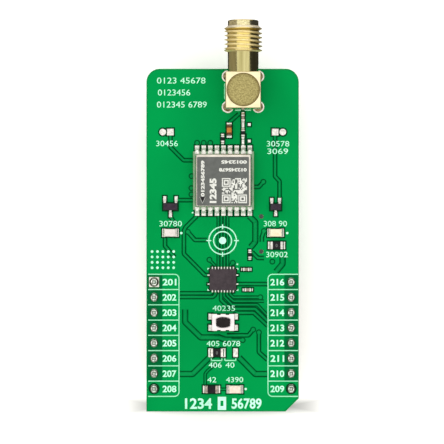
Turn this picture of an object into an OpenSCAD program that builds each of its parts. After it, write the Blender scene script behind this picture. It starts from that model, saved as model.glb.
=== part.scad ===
// Plug-in satellite positioning board with a receiver module, an antenna jack and a push button

/* [Board] */
// Width of the circuit board
board_w = 25.4; // [24:0.1:28]
// Length of the circuit board
board_l = 57.15; // [56.5:0.05:62]
// Thickness of the circuit board
board_t = 1.6; // [1:0.1:2]
// Radius of the two corners at the antenna end
board_corner_r = 2.2; // [1:0.1:3]
// Leg of the corner that is cut off to key the board
key_cut = 2.2; // [1.5:0.1:2.6]
// Distance from the keyed edge to the middle of the headers
header_inset = 12.7; // [12:0.1:14]
// Thickness of the tinned pads
pad_t = 0.05; // [0.03:0.01:0.08]
// Diameter of the two bare locating holes
locating_d = 0.78; // [0.5:0.02:1.2]
// Distance between the two locating holes
locating_pitch = 5.85; // [5:0.05:7]
// Size of the round and square test pads
test_pad = 1.1; // [0.8:0.05:1.15]
// Distance between the two test pads of a pair
test_pitch = 1.27; // [1.25:0.01:1.6]

/* [Headers] */
// Pins in each row
pin_count = 8; // [6:1:8]
// Distance between neighbouring pins
pin_pitch = 2.54; // [2.4:0.01:2.6]
// Distance from each row to the board's side
row_edge = 1.27; // [1.2:0.01:1.6]
// Side of a square pin
pin_side = 0.64; // [0.5:0.01:0.68]
// Length of the taper at both ends of a pin
pin_taper = 0.3; // [0.1:0.05:0.5]
// Reach of the pins below their strip
pin_reach = 6; // [4:0.1:9]
// Height of the pins' tails above the pads
pin_tail = 1; // [0.8:0.1:1.5]
// Height of the strips
strip_h = 2.54; // [1.5:0.01:4]
// Width of the strips
strip_w = 2.5; // [2:0.05:2.6]
// Cut at the corners of each cell of a strip
strip_notch = 0.4; // [0.2:0.05:0.6]
// Diameter of the plated pin holes
pin_hole_d = 1; // [0.98:0.01:1.2]
// Diameter of the pads round the pins
pin_pad_d = 1.4; // [1.3:0.05:1.9]
// Side of the square pad round the first pin
first_pad_side = 1.65; // [1.4:0.05:1.9]
// Height of the solder on the pins
pin_solder_h = 0.6; // [0.3:0.05:0.75]
// Thickness of the solder at the top of its cone
pin_solder_lip = 0.06; // [0.04:0.01:0.1]

/* [Antenna jack] */
// Place of the jack across the board
jack_x = 3.4; // [2:0.1:5]
// Distance from the board's edge to the middle of the jack
jack_inset = 3.81; // [3.6:0.01:4.1]
// Width of the jack's block
jack_w = 5.85; // [5.8:0.05:6.6]
// Depth of the jack's block
jack_d = 6; // [5.8:0.05:6.6]
// Height of the jack's block
jack_h = 6.4; // [6.2:0.1:7]
// Height of the barrel's axis above the foot of the block
jack_axis_h = 3.2; // [3.1:0.05:3.3]
// Chamfer along the edges of the block
jack_edge = 0.12; // [0.05:0.01:0.15]
// Thickness of the block's floor
jack_floor = 1; // [0.6:0.05:1.1]
// Reach of the barrel beyond the block
barrel_l = 8.6; // [8:0.1:12]
// Diameter over the crests of the thread
thread_d = 6.35; // [6.2:0.05:6.35]
// Length of the thread with its tapered ends
thread_l = 4.35; // [3:0.05:5]
// Length of the taper that leads a nut on to the thread
thread_lead = 0.45; // [0.2:0.05:0.7]
// Length of the taper behind the thread
thread_runout = 0.25; // [0.1:0.05:0.5]
// Length of the plain nose in front of the thread
nose_l = 0.9; // [0.5:0.1:1.5]
// Diameter of the barrel's neck and nose
neck_d = 5.1; // [5:0.05:5.4]
// Diameter of the barrel's end that sits in the block
spigot_d = 4.7; // [4.5:0.05:4.9]
// Length of the barrel's end that sits in the block
spigot_l = 1.2; // [0.8:0.05:1.4]
// Diameter of the open mouth
mouth_d = 4.6; // [4.55:0.01:4.7]
// Depth of the open mouth
mouth_depth = 1.9; // [1.5:0.05:2.2]
// Chamfer at the rim of the nose
nose_chamfer = 0.12; // [0.05:0.01:0.2]
// Diameter of the white insulator
insulator_d = 4.1; // [3.8:0.05:4.2]
// Diameter of the centre contact
contact_d = 1.27; // [1.2:0.01:1.4]
// Diameter of the hole in the centre contact
contact_bore_d = 0.94; // [0.9:0.01:1]
// Depth of the hole in the centre contact
contact_bore_l = 2.5; // [2:0.1:4]
// Width of the slits that make the contact springy
contact_slit = 0.16; // [0.1:0.01:0.2]
// Diameter of the contact's leg
contact_leg_d = 0.9; // [0.7:0.05:1]
// Diameter of the white bushing round the contact's leg
bushing_d = 2.4; // [2:0.05:2.8]
// Diameter of the round cap
cap_d = 5.5; // [5:0.05:5.5]
// Thickness of the round cap
cap_t = 0.6; // [0.4:0.05:0.8]
// Side of the square legs
leg_side = 0.75; // [0.6:0.05:0.8]
// Distance between the legs
leg_pitch = 5.08; // [4.8:0.02:5.1]
// Reach of the legs below the board
leg_reach = 1.2; // [0.9:0.1:2]
// Diameter of the plated leg holes
leg_hole_d = 1.3; // [1.2:0.05:1.6]
// Diameter of the pads round the legs
leg_pad_d = 2; // [2:0.05:2.5]
// Height of the solder cones under the board
leg_solder_h = 0.7; // [0.3:0.05:0.85]

/* [Receiver module] */
// Place of the module across the board
module_x = 0.15; // [-1:0.05:1]
// Place of the module along the board, from the middle of the jack
module_y = -14.84; // [-15.6:0.02:-14.3]
// Width of the module's board
module_w = 10.1; // [10:0.05:11]
// Length of the module's board
module_l = 9.7; // [9.3:0.05:10.2]
// Thickness of the module's board
module_t = 0.8; // [0.5:0.05:1.2]
// Contacts along each of the two sides
edge_count = 9; // [5:1:9]
// Distance between neighbouring contacts
edge_pitch = 1.1; // [1:0.01:1.12]
// Diameter of the half-round contacts in the module's edge
edge_hole_d = 0.56; // [0.4:0.02:0.62]
// Thickness of the plating in the half-round contacts
edge_plating = 0.05; // [0.03:0.01:0.08]
// Width of a contact's pad
edge_pad_w = 0.72; // [0.66:0.01:0.85]
// Length of a contact's land on top of the module's board
edge_land_l = 0.4; // [0.36:0.01:0.42]
// Reach of the board's pads beyond the module
edge_pad_out = 1; // [0.7:0.05:1.15]
// Reach of the board's pads under the module
edge_pad_in = 0.5; // [0.4:0.05:0.8]
// Width of the shield can
shield_w = 9.3; // [8.8:0.05:9.6]
// Length of the shield can
shield_l = 8.8; // [8.4:0.05:8.84]
// Height of the shield can
shield_h = 1.5; // [1.3:0.05:3]
// Sheet thickness of the shield can
shield_t = 0.2; // [0.1:0.02:0.3]
// Corner radius of the shield can
shield_corner_r = 0.5; // [0.4:0.05:1]
// Radius of the shield can's folded top edge
shield_edge_r = 0.3; // [0.1:0.05:0.35]
// Width of the notches in the foot of the shield can
shield_notch_w = 0.9; // [0.5:0.05:1.2]
// Height of the notches in the foot of the shield can
shield_notch_h = 0.25; // [0.1:0.05:0.4]
// Side of the receiver chip
receiver_side = 4.2; // [3:0.1:4.6]
// Height of the receiver chip
receiver_h = 0.8; // [0.5:0.05:1]
// Length of the oscillator
oscillator_l = 2; // [1.6:0.1:2.5]
// Width of the oscillator
oscillator_w = 1.6; // [1.2:0.1:2]
// Height of the oscillator
oscillator_h = 0.7; // [0.5:0.05:1]
// Rim of the oscillator round its lid
oscillator_rim = 0.15; // [0.1:0.01:0.3]
// Thickness of the oscillator's lid
oscillator_lid = 0.12; // [0.08:0.01:0.2]
// Length of a filter
filter_l = 1.4; // [1.1:0.1:1.8]
// Width of a filter
filter_w = 1.1; // [0.9:0.1:1.3]
// Height of a filter
filter_h = 0.5; // [0.3:0.05:0.8]

/* [Level translator] */
// Width of the translator
translator_w = 4.4; // [4.3:0.05:5]
// Length of the translator
translator_l = 3.5; // [3.3:0.05:4]
// Height of the translator
translator_h = 0.9; // [0.6:0.05:1.2]
// Distance between neighbouring leads
lead_pitch = 0.5; // [0.46:0.01:0.52]
// Leads along each long side
lead_count = 8; // [6:1:8]
// Distance between the two leads of a short side
end_lead_pitch = 1.5; // [1:0.05:1.8]
// Width of a lead
lead_w = 0.2; // [0.16:0.01:0.32]
// Length of a lead
lead_l = 0.4; // [0.3:0.02:0.5]
// Thickness of a lead
lead_t = 0.2; // [0.1:0.02:0.3]
// Reach of the board's pads beyond the translator
lead_pad_out = 0.36; // [0.3:0.02:0.6]
// Width of the heat pad under the translator
heat_pad_w = 3; // [2.4:0.05:3.3]
// Length of the heat pad under the translator
heat_pad_l = 2; // [1.5:0.05:2.3]
// Diameter of the moulded dimple beside the first lead
dimple_d = 0.5; // [0.3:0.05:0.7]
// Depth of the moulded dimple
dimple_depth = 0.06; // [0.03:0.01:0.1]

/* [Transistors] */
// Width of the larger transistor's body
fix_transistor_w = 2.45; // [2.4:0.05:3.1]
// Length of the larger transistor's body
fix_transistor_l = 1.2; // [1.1:0.05:1.5]
// Distance between the paired leads of the larger transistor
fix_lead_pitch = 1.9; // [1.7:0.05:2]
// Width of the smaller transistor's body
boot_transistor_w = 1.85; // [1.8:0.05:2.2]
// Length of the smaller transistor's body
boot_transistor_l = 1.1; // [1:0.05:1.4]
// Distance between the paired leads of the smaller transistor
boot_lead_pitch = 1.3; // [1.2:0.05:1.4]
// Height of both bodies
transistor_h = 0.95; // [0.8:0.05:1.1]
// Air under both bodies
transistor_lift = 0.08; // [0.05:0.01:0.12]
// Slope of the moulded sides
transistor_draft = 0.1; // [0.05:0.01:0.15]
// Width of a bent lead
bent_lead_w = 0.38; // [0.3:0.02:0.5]
// Thickness of a bent lead
bent_lead_t = 0.13; // [0.1:0.01:0.16]
// Reach of a bent lead beyond its body
bent_lead_reach = 0.6; // [0.55:0.02:0.7]
// Length of a bent lead's foot
bent_lead_foot = 0.32; // [0.28:0.02:0.36]
// Reach of the board's pads beyond the larger transistor's feet
fix_pad_out = 0.55; // [0.2:0.05:0.6]
// Reach of the board's pads beyond the smaller transistor's feet
boot_pad_out = 0.35; // [0.2:0.05:0.5]
// Width of the board's pads under a foot
bent_pad_w = 0.5; // [0.4:0.05:0.9]

/* [Chip parts] */
// Length of a large chip part
large_l = 2; // [1.9:0.05:2.1]
// Width of a large chip part
large_w = 1.25; // [1.1:0.05:1.4]
// Height of a large chip part
large_h = 0.5; // [0.45:0.05:0.7]
// Length of a large chip part's end terminals
large_end = 0.35; // [0.3:0.05:0.45]
// Reach of the board's pads beyond a large chip part
large_pad_out = 0.42; // [0.36:0.02:0.46]
// Width of the board's pads under a large chip part
large_pad_w = 1.2; // [1.05:0.05:1.5]
// Width of the board's three pads for the supply link
supply_pad_w = 1.45; // [1.2:0.05:1.6]
// Length of the bias inductor
inductor_l = 1.6; // [1.5:0.05:1.7]
// Width of the bias inductor
inductor_w = 0.85; // [0.75:0.05:1]
// Height of the bias inductor
inductor_h = 0.8; // [0.6:0.05:1]
// Length of the bias inductor's end terminals
inductor_end = 0.4; // [0.2:0.02:0.4]
// Reach of the board's pads beyond the bias inductor
inductor_pad_out = 0.44; // [0.36:0.02:0.5]
// Width of the board's pads under the bias inductor
inductor_pad_w = 0.8; // [0.8:0.05:1.2]
// Length of a small chip part
small_l = 1; // [0.95:0.05:1.1]
// Width of a small chip part
small_w = 0.52; // [0.45:0.01:0.6]
// Height of a small chip part
small_h = 0.45; // [0.4:0.05:0.55]
// Length of a small chip part's end terminals
small_end = 0.2; // [0.2:0.02:0.3]
// Reach of the board's pads beyond a small chip part
small_pad_out = 0.34; // [0.24:0.02:0.46]
// Width of the board's pads under a small chip part
small_pad_w = 0.46; // [0.4:0.02:0.8]
// Thickness of the end terminals' plating
end_t = 0.03; // [0.02:0.01:0.05]
// Radius of the solder at the chips' ends
solder_r = 0.32; // [0.2:0.02:0.36]
// Thickness of the solder where it runs out
solder_edge = 0.03; // [0.02:0.01:0.05]
// Width of the bare antenna track
antenna_track_w = 0.4; // [0.3:0.05:0.6]

/* [Status lights] */
// Length of a light
led_l = 2.15; // [2:0.05:2.3]
// Width of a light
led_w = 1.3; // [1.2:0.05:1.4]
// Thickness of a light's base
led_base_h = 0.35; // [0.25:0.05:0.4]
// Height of a light with its lens
led_h = 0.85; // [0.7:0.05:1.1]
// Slope of the lens's sides
led_draft = 0.05; // [0.03:0.01:0.1]
// Length of the lens
led_lens_l = 1.9; // [1.6:0.05:1.9]
// Length of a light's end terminals
led_end = 0.3; // [0.25:0.02:0.4]
// Diameter of the half-round notch in a light's ends
led_notch_d = 0.25; // [0.2:0.05:0.3]
// Reach of the board's pads beyond a light
led_pad_out = 0.28; // [0.24:0.02:0.4]
// Width of the board's pads under a light
led_pad_w = 1.35; // [1.2:0.05:1.5]

/* [Push button] */
// Width of the button's cover
switch_w = 3.7; // [3.6:0.05:4.3]
// Length of the button's cover over its folded tabs
switch_l = 2.8; // [2.7:0.05:3.1]
// Height of the button's base
switch_base_h = 1.1; // [1:0.05:1.4]
// Sheet thickness of the cover
switch_cover_t = 0.15; // [0.1:0.01:0.2]
// Height of the cover's folded tabs
switch_tab_h = 0.7; // [0.4:0.05:0.9]
// Width of the cover's folded tabs
switch_tab_w = 0.85; // [0.6:0.05:0.9]
// Width of the plunger
plunger_w = 2.15; // [2:0.05:2.3]
// Length of the plunger
plunger_l = 1.55; // [1.4:0.05:1.6]
// Radius of the plunger's bowed long sides
plunger_bow_r = 2.3; // [2:0.1:3]
// Height of the plunger above the board
plunger_top = 1.9; // [1.7:0.05:2.4]
// Rim that keeps the plunger under the cover
plunger_rim = 0.2; // [0.1:0.02:0.24]
// Thickness of the plunger's rim
plunger_rim_t = 0.22; // [0.15:0.01:0.24]
// Gap round the moving plunger
plunger_gap = 0.06; // [0.04:0.01:0.08]
// Travel of the plunger
plunger_travel = 0.25; // [0.15:0.01:0.26]
// Diameter of the snap dome
dome_d = 1.8; // [1.5:0.05:1.85]
// Sheet thickness of the snap dome
dome_t = 0.05; // [0.03:0.01:0.06]
// Reach of the terminals beyond the cover
terminal_out = 0.6; // [0.4:0.05:0.8]
// Width of the terminals
terminal_w = 0.95; // [0.7:0.05:1]
// Thickness of the terminals
terminal_t = 0.15; // [0.1:0.01:0.2]

/* [Hidden] */
$fn = 48;

// Gap between pressed or cemented turned pieces
fit_gap = 0.01;
// Overshoot of a cutting shape
over = 1;

// Levels, with the seating plane of the headers at zero
board_low = strip_h;
board_top = board_low + board_t;
seat_z = board_top + pad_t;
board_near = -header_inset;
board_far = board_near + board_l;
left_edge = [-board_w / 2, 0];
right_edge = [board_w / 2, 0];
row_pitch = board_w - 2 * row_edge;

// Jack
jack_y = board_far - jack_inset;
jack_axis_z = seat_z + jack_axis_h;
jack_front = jack_d / 2;
barrel_end = jack_front + barrel_l;
mouth_y = barrel_end - mouth_depth;
leg_places = [for (x = [-1, 1], y = [-1, 1]) [x, y] * leg_pitch / 2];

// Receiver module
module_at = [module_x, jack_y + module_y];
module_far = module_at[1] + module_l / 2;
shield_z = module_t;
receiver_at = [-1.6, 0.9];
oscillator_at = [2.6, 2.6];
filter_places = [[2.6, -0.4], [2.6, -2.4]];

// Places from the middle of the headers
switch_at = [0.1, 2.2];
supply_link_at = [-0.95, -2.9];
locating_at = [6.45, 16.9];

// Places from the middle of the keyed edge
near_edge = [0, board_near];
power_resistor_up = [-1.85, 3.7];
power_led_up = [2.05, 3.7];

// Translator, and the places of its own parts from its middle
translator_at = [0.05, 9.3];
near_capacitor_off = [4.15, -1.7];
far_capacitor_off = [3.9, 1.7];
supply_resistor_off = [4.5, 4.15];

// Places beside the long edges, each from its own edge
fix_led_in = [4, 17.1];
fix_transistor_in = [4, 21.45];
data_led_in = [-3.85, 17.1];
bus_link_in = [-3.7, 15];
boot_transistor_in = [-3.85, 21.4];

// Test pads, from their own edge and the middle of the jack
left_test_in = [3.35, -6.74];
right_test_in = [-3.3, -6.74];
left_test_at = left_edge + [0, jack_y] + left_test_in;
right_test_at = right_edge + [0, jack_y] + right_test_in;

// Antenna parts, from the point of the module's edge in line with the jack
antenna_foot = [jack_x, module_far];
bias_inductor_off = [-2.3, 3.55];
antenna_capacitor_off = [0, 5.65];
antenna_link_off = [0, 3.1];
bias_resistor_off = [-3.4, 2.1];
far_tuning_off = [1.05, 4.5];
near_tuning_off = [1.05, 1.75];
tuning_pads = [antenna_foot + far_tuning_off, antenna_foot + near_tuning_off];
tuning_pad = 0.46;

// Sizes as length, width, height and terminal of the part, then reach and width of its pads
large_chip = [large_l, large_w, large_h, large_end, large_pad_out, large_pad_w];
supply_chip = [large_l, large_w, large_h, large_end, large_pad_out, supply_pad_w];
inductor_chip = [inductor_l, inductor_w, inductor_h, inductor_end, inductor_pad_out, inductor_pad_w];
small_chip = [small_l, small_w, small_h, small_end, small_pad_out, small_pad_w];
light_chip = [led_l, led_w, led_base_h, led_end, led_pad_out, led_pad_w];
link_pad_pitch = large_l + large_pad_out - large_end;

// Chip parts as place, turn, size and wrap of the terminals round the sides
supply_link = [supply_link_at, 0, supply_chip, 0];
bus_link = [right_edge + bus_link_in, 0, large_chip, 0];
power_resistor = [near_edge + power_resistor_up, 0, large_chip, 0];
bias_inductor = [antenna_foot + bias_inductor_off, 90, inductor_chip, end_t];
antenna_capacitor = [antenna_foot + antenna_capacitor_off, 90, small_chip, end_t];
antenna_link = [antenna_foot + antenna_link_off, 90, small_chip, 0];
bias_resistor = [antenna_foot + bias_resistor_off, 90, small_chip, 0];
supply_resistor = [translator_at + supply_resistor_off, 90, small_chip, 0];
near_capacitor = [translator_at + near_capacitor_off, 0, small_chip, end_t];
far_capacitor = [translator_at + far_capacitor_off, 0, small_chip, end_t];
small_capacitors = [antenna_capacitor, near_capacitor, far_capacitor];
small_resistors = [antenna_link, bias_resistor, supply_resistor];
fix_led = [left_edge + fix_led_in, 0, light_chip, 0];
data_led = [right_edge + data_led_in, 0, light_chip, 0];
power_led = [near_edge + power_led_up, 0, light_chip, 0];
lights = [fix_led, data_led, power_led];
soldered_chips = concat(
    [supply_link, bus_link, power_resistor, bias_inductor], small_capacitors, small_resistors, lights);

// Transistors as place, body width, body length, lead pitch and reach of the pads
fix_transistor = [
    left_edge + fix_transistor_in, fix_transistor_w, fix_transistor_l, fix_lead_pitch, fix_pad_out];
boot_transistor = [
    right_edge + boot_transistor_in, boot_transistor_w, boot_transistor_l, boot_lead_pitch, boot_pad_out];

// Push button, from the pads up
switch_top = switch_base_h + switch_cover_t;
rim_top = switch_base_h - plunger_gap / 2;
rim_low = rim_top - plunger_rim_t;
dome_top = rim_low - plunger_gap / 2;
dome_rise = plunger_travel + dome_t;
switch_floor = dome_top - dome_rise;
dome_sphere_r = (dome_d * dome_d / 4 + dome_rise * dome_rise) / (2 * dome_rise);

// Colours
mask_green = "#009b4b";
tin = "#d9d9d2";
solder_grey = "#c2c5c4";
gold = "#c9a94f";
moulded_black = "#3b3a3d";
ceramic_white = "#e8e4d8";

function pin_y(i) = (i - (pin_count - 1) / 2) * pin_pitch;
function edge_x(i) = (i - (edge_count - 1) / 2) * edge_pitch;
function lead_x(i) = (i - (lead_count - 1) / 2) * lead_pitch;

// Plan of a rectangle with round corners
module round_plan(w, l, r) {
    square([w - 2 * r, l], center = true);
    square([w, l - 2 * r], center = true);
    for (x = [-1, 1], y = [-1, 1])
        translate([x * (w / 2 - r), y * (l / 2 - r)]) circle(r);
}

// Section of a wall with round upper edges, standing on the axis
module arched_section(w, h, r) {
    translate([-w / 2, 0]) square([w, h - r]);
    translate([-w / 2 + r, 0]) square([w - 2 * r, h]);
    for (x = [-1, 1])
        translate([x * (w / 2 - r), h - r]) circle(r);
}

// Block that tapers from its parting line to its top and bottom
module moulded_block(w, l, h, draft) {
    intersection() {
        rotate([90, 0, 0])
            linear_extrude(l + over, center = true) moulded_section(w, h, draft);
        rotate([90, 0, 90])
            linear_extrude(w + over, center = true) moulded_section(l, h, draft);
    }
}

module moulded_section(w, h, draft) {
    polygon([
        [-w / 2 + draft, 0], [w / 2 - draft, 0], [w / 2, h / 2],
        [w / 2 - draft, h], [-w / 2 + draft, h], [-w / 2, h / 2]
    ]);
}

// Plan of a rectangle with cut corners
module cut_plan(w, l, c) {
    x = w / 2;
    y = l / 2;
    polygon([
        [x - c, -y], [x, -y + c], [x, y - c], [x - c, y],
        [-x + c, y], [-x, y - c], [-x, -y + c], [-x + c, -y]
    ]);
}

// Block with chamfered edges all round
module chamfered_block(w, l, h, c) {
    intersection() {
        linear_extrude(h) cut_plan(w, l, c);
        translate([0, 0, h / 2]) rotate([90, 0, 0])
            linear_extrude(l + over, center = true) cut_plan(w, h, c);
        translate([0, 0, h / 2]) rotate([90, 0, 90])
            linear_extrude(w + over, center = true) cut_plan(l, h, c);
    }
}

// Slab centred across the board and standing on the plane
module slab(w, l, h) {
    translate([-w / 2, -l / 2, 0]) cube([w, l, h]);
}

module on_board(at, turn = 0) {
    translate([at[0], at[1], seat_z]) rotate(turn) children();
}

module at_jack() {
    translate([jack_x, jack_y, seat_z]) children();
}

// Turns a shape made along +Z so that it points out of the jack
module along_barrel() {
    translate([jack_x, jack_y, jack_axis_z]) rotate([-90, 0, 0]) children();
}

module at_module(z = 0) {
    translate([module_at[0], module_at[1], seat_z + z]) children();
}

// Both rows of contacts of the module, each seen from outside the edge
module at_each_edge_contact() {
    for (i = [0 : edge_count - 1], side = [0, 180])
        rotate(side) translate([edge_x(i), module_l / 2, 0]) children();
}

// All leads of the translator, each seen from outside the edge
module at_each_lead() {
    for (i = [0 : lead_count - 1], side = [0, 180])
        rotate(side) translate([lead_x(i), translator_l / 2, 0]) children();
    for (y = [-1, 1], side = [90, -90])
        rotate(side) translate([y * end_lead_pitch / 2, translator_w / 2, 0]) children();
}

module at_each_pin(side) {
    for (i = [0 : pin_count - 1])
        translate([side * row_pitch / 2, pin_y(i), 0]) children();
}

module board_plan() {
    difference() {
        union() {
            translate([-board_w / 2, board_near])
                square([board_w, board_l - board_corner_r]);
            translate([-board_w / 2 + board_corner_r, board_near])
                square([board_w - 2 * board_corner_r, board_l]);
            for (side = [-1, 1])
                translate([side * (board_w / 2 - board_corner_r), board_far - board_corner_r])
                    circle(board_corner_r);
        }
        translate([board_w / 2, board_near])
            rotate(45) square(key_cut * sqrt(2), center = true);
    }
}

module circuit_board() {
    color(mask_green) translate([0, 0, board_low]) difference() {
        linear_extrude(board_t) board_plan();
        translate([0, 0, -over]) linear_extrude(board_t + 2 * over) {
            for (side = [-1, 1])
                at_each_pin(side) circle(d = pin_hole_d);
            for (place = leg_places)
                translate([jack_x, jack_y] + place) circle(d = leg_hole_d);
            translate([jack_x, jack_y]) circle(d = leg_hole_d);
            for (y = [-1, 1])
                translate(locating_at + [0, y * locating_pitch / 2]) circle(d = locating_d);
        }
    }
}

// Pad plans, all at one level
module header_pads() {
    for (side = [-1, 1], i = [0 : pin_count - 1])
        translate([side * row_pitch / 2, pin_y(i)]) difference() {
            if (side < 0 && i == pin_count - 1) square(first_pad_side, center = true);
            else circle(d = pin_pad_d);
            circle(d = pin_hole_d);
        }
}

module jack_pads() {
    translate([jack_x, jack_y])
        for (place = leg_places)
            translate(place) difference() {
                circle(d = leg_pad_d);
                circle(d = leg_hole_d);
            }
}

module module_pads() {
    translate(module_at)
        at_each_edge_contact()
            translate([-edge_pad_w / 2, -edge_pad_in]) square([edge_pad_w, edge_pad_in + edge_pad_out]);
}

module translator_pads() {
    translate(translator_at) {
        at_each_lead()
            translate([-lead_w / 2, -lead_l]) square([lead_w, lead_l + lead_pad_out]);
        square([heat_pad_w, heat_pad_l], center = true);
    }
}

module transistor_pads(part) {
    foot = bent_lead_reach - bent_lead_foot;
    pad_l = bent_lead_foot + part[4];
    translate(part[0]) {
        for (x = [-1, 1])
            translate([x * part[3] / 2 - bent_pad_w / 2, part[2] / 2 + foot]) square([bent_pad_w, pad_l]);
        translate([-bent_pad_w / 2, -part[2] / 2 - foot - pad_l]) square([bent_pad_w, pad_l]);
    }
}

module chip_pads(chip) {
    size = chip[2];
    translate(chip[0]) rotate(chip[1])
        for (side = [0, 180])
            rotate(side) translate([size[0] / 2 - size[3], -size[5] / 2])
                square([size[3] + size[4], size[5]]);
}

// Pad that stays free beside the supply link, for the other supply
module spare_link_pad() {
    pad_l = large_end + large_pad_out;
    translate(supply_link[0] + [link_pad_pitch * 1.5, 0]) square([pad_l, supply_pad_w], center = true);
}

module switch_pads() {
    for (x = [-1, 1], y = [-1, 1])
        translate(switch_at + [x * (switch_w + terminal_out) / 2, y * (switch_l - terminal_w) / 2])
            square([terminal_out, terminal_w], center = true);
}

module test_pads() {
    for (side = [-1, 1])
        translate(side < 0 ? left_test_at : right_test_at) {
            translate([side * test_pitch / 2, 0]) circle(d = test_pad);
            translate([-side * test_pitch / 2, 0]) square(test_pad, center = true);
        }
}

// Bare track from the jack through its capacitor and link to the module
module antenna_track() {
    chip_reach = small_l / 2 + small_pad_out;
    near_y = module_far + edge_pad_out;
    link_y = antenna_link[0][1];
    capacitor_y = antenna_capacitor[0][1];
    jack_low = jack_y - jack_d / 2;
    translate([jack_x - antenna_track_w / 2, 0]) {
        translate([0, near_y]) square([antenna_track_w, link_y - chip_reach - near_y]);
        translate([0, link_y + chip_reach])
            square([antenna_track_w, capacitor_y - link_y - 2 * chip_reach]);
        translate([0, capacitor_y + chip_reach])
            square([antenna_track_w, jack_low - capacitor_y - chip_reach]);
    }
    for (place = tuning_pads)
        translate(place) square(tuning_pad, center = true);
}

module solder_pads() {
    color(tin) translate([0, 0, board_top]) linear_extrude(pad_t) {
        header_pads();
        jack_pads();
        module_pads();
        translator_pads();
        transistor_pads(fix_transistor);
        transistor_pads(boot_transistor);
        for (chip = soldered_chips) chip_pads(chip);
        spare_link_pad();
        switch_pads();
        test_pads();
        antenna_track();
    }
}

module header_strip(side) {
    color("#2b2b2d") linear_extrude(strip_h) difference() {
        at_each_pin(side) cut_plan(strip_w, pin_pitch, strip_notch);
        at_each_pin(side) square(pin_side, center = true);
    }
}

module left_header_strip() { header_strip(-1); }
module right_header_strip() { header_strip(1); }

// Side view of a pin, blunted at both ends
module pin_section() {
    half = pin_side / 2;
    tip = half - pin_taper / 2;
    low = -pin_reach;
    high = seat_z + pin_tail;
    polygon([
        [-tip, low], [tip, low], [half, low + pin_taper], [half, high - pin_taper],
        [tip, high], [-tip, high], [-half, high - pin_taper], [-half, low + pin_taper]
    ]);
}

module header_pin() {
    intersection() {
        rotate([90, 0, 0]) linear_extrude(pin_side + over, center = true) pin_section();
        rotate([90, 0, 90]) linear_extrude(pin_side + over, center = true) pin_section();
    }
}

module header_pins(side) {
    color(gold) at_each_pin(side) header_pin();
}

module left_header_pins() { header_pins(-1); }
module right_header_pins() { header_pins(1); }

// Hollow cone of solder that wets the pad and climbs the pin
module solder_cone(foot_r, top_r, h, steps = 6) {
    rotate_extrude()
        polygon(concat(
            [[0, 0], [foot_r, 0]],
            [for (i = [1 : steps]) let (a = 90 * i / steps)
                [top_r + (foot_r - top_r) * (1 - sin(a)), h * (1 - cos(a))]],
            [[0, h]]));
}

module header_joint() {
    difference() {
        union() {
            translate([0, 0, board_low])
                cylinder(d = pin_hole_d - 2 * fit_gap, h = seat_z - board_low);
            translate([0, 0, seat_z])
                solder_cone(pin_pad_d / 2, pin_side / sqrt(2) + pin_solder_lip, pin_solder_h);
        }
        translate([-pin_side / 2, -pin_side / 2, board_low - over])
            cube([pin_side, pin_side, seat_z + 2 * over]);
    }
}

module header_solder() {
    color(solder_grey)
        for (side = [-1, 1])
            at_each_pin(side) header_joint();
}

module jack_block() {
    leg_h = leg_reach + board_t + pad_t;
    color("#efe6c4") {
        at_jack() difference() {
            chamfered_block(jack_w, jack_d, jack_h, jack_edge);
            translate([0, 0, jack_h - cap_t]) cylinder(d = cap_d, h = cap_t + over);
            translate([0, 0, jack_floor]) cylinder(d = insulator_d, h = jack_h);
            translate([0, 0, -over]) cylinder(d = bushing_d, h = jack_floor + 2 * over);
            translate([0, 0, jack_axis_h]) rotate([-90, 0, 0]) cylinder(d = insulator_d, h = jack_d);
            translate([0, jack_front - spigot_l, jack_axis_h])
                rotate([-90, 0, 0]) cylinder(d = spigot_d, h = spigot_l + over);
        }
        at_jack()
            for (place = leg_places)
                translate([place[0], place[1], -leg_h]) slab(leg_side, leg_side, leg_h);
    }
}

// Half section of the barrel, with its axis upright
module barrel_section() {
    thread_far = barrel_end - nose_l;
    thread_near = thread_far - thread_l;
    polygon([
        [insulator_d / 2 + fit_gap, jack_front - spigot_l],
        [spigot_d / 2 - fit_gap, jack_front - spigot_l],
        [spigot_d / 2 - fit_gap, jack_front],
        [neck_d / 2, jack_front],
        [neck_d / 2, thread_near],
        [thread_d / 2, thread_near + thread_runout],
        [thread_d / 2, thread_far - thread_lead],
        [neck_d / 2, thread_far],
        [neck_d / 2, barrel_end - nose_chamfer],
        [neck_d / 2 - nose_chamfer, barrel_end],
        [mouth_d / 2, barrel_end],
        [mouth_d / 2, mouth_y],
        [insulator_d / 2 + fit_gap, mouth_y]
    ]);
}

module jack_barrel() {
    color(gold) along_barrel() rotate_extrude() barrel_section();
}

module jack_cap() {
    color("#a89d62") at_jack()
        translate([0, 0, jack_h - cap_t]) cylinder(d = cap_d - 2 * fit_gap, h = cap_t);
}

module jack_insulator() {
    color("white") along_barrel() translate([0, 0, jack_front - spigot_l]) difference() {
        cylinder(d = insulator_d, h = mouth_y - jack_front + spigot_l);
        translate([0, 0, -over]) cylinder(d = contact_d + 2 * fit_gap, h = barrel_end);
    }
}

module jack_bushing() {
    color("white") at_jack() difference() {
        cylinder(d = bushing_d - 2 * fit_gap, h = jack_floor);
        translate([0, 0, -over]) cylinder(d = contact_leg_d + 2 * fit_gap, h = jack_floor + 2 * over);
    }
}

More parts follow.
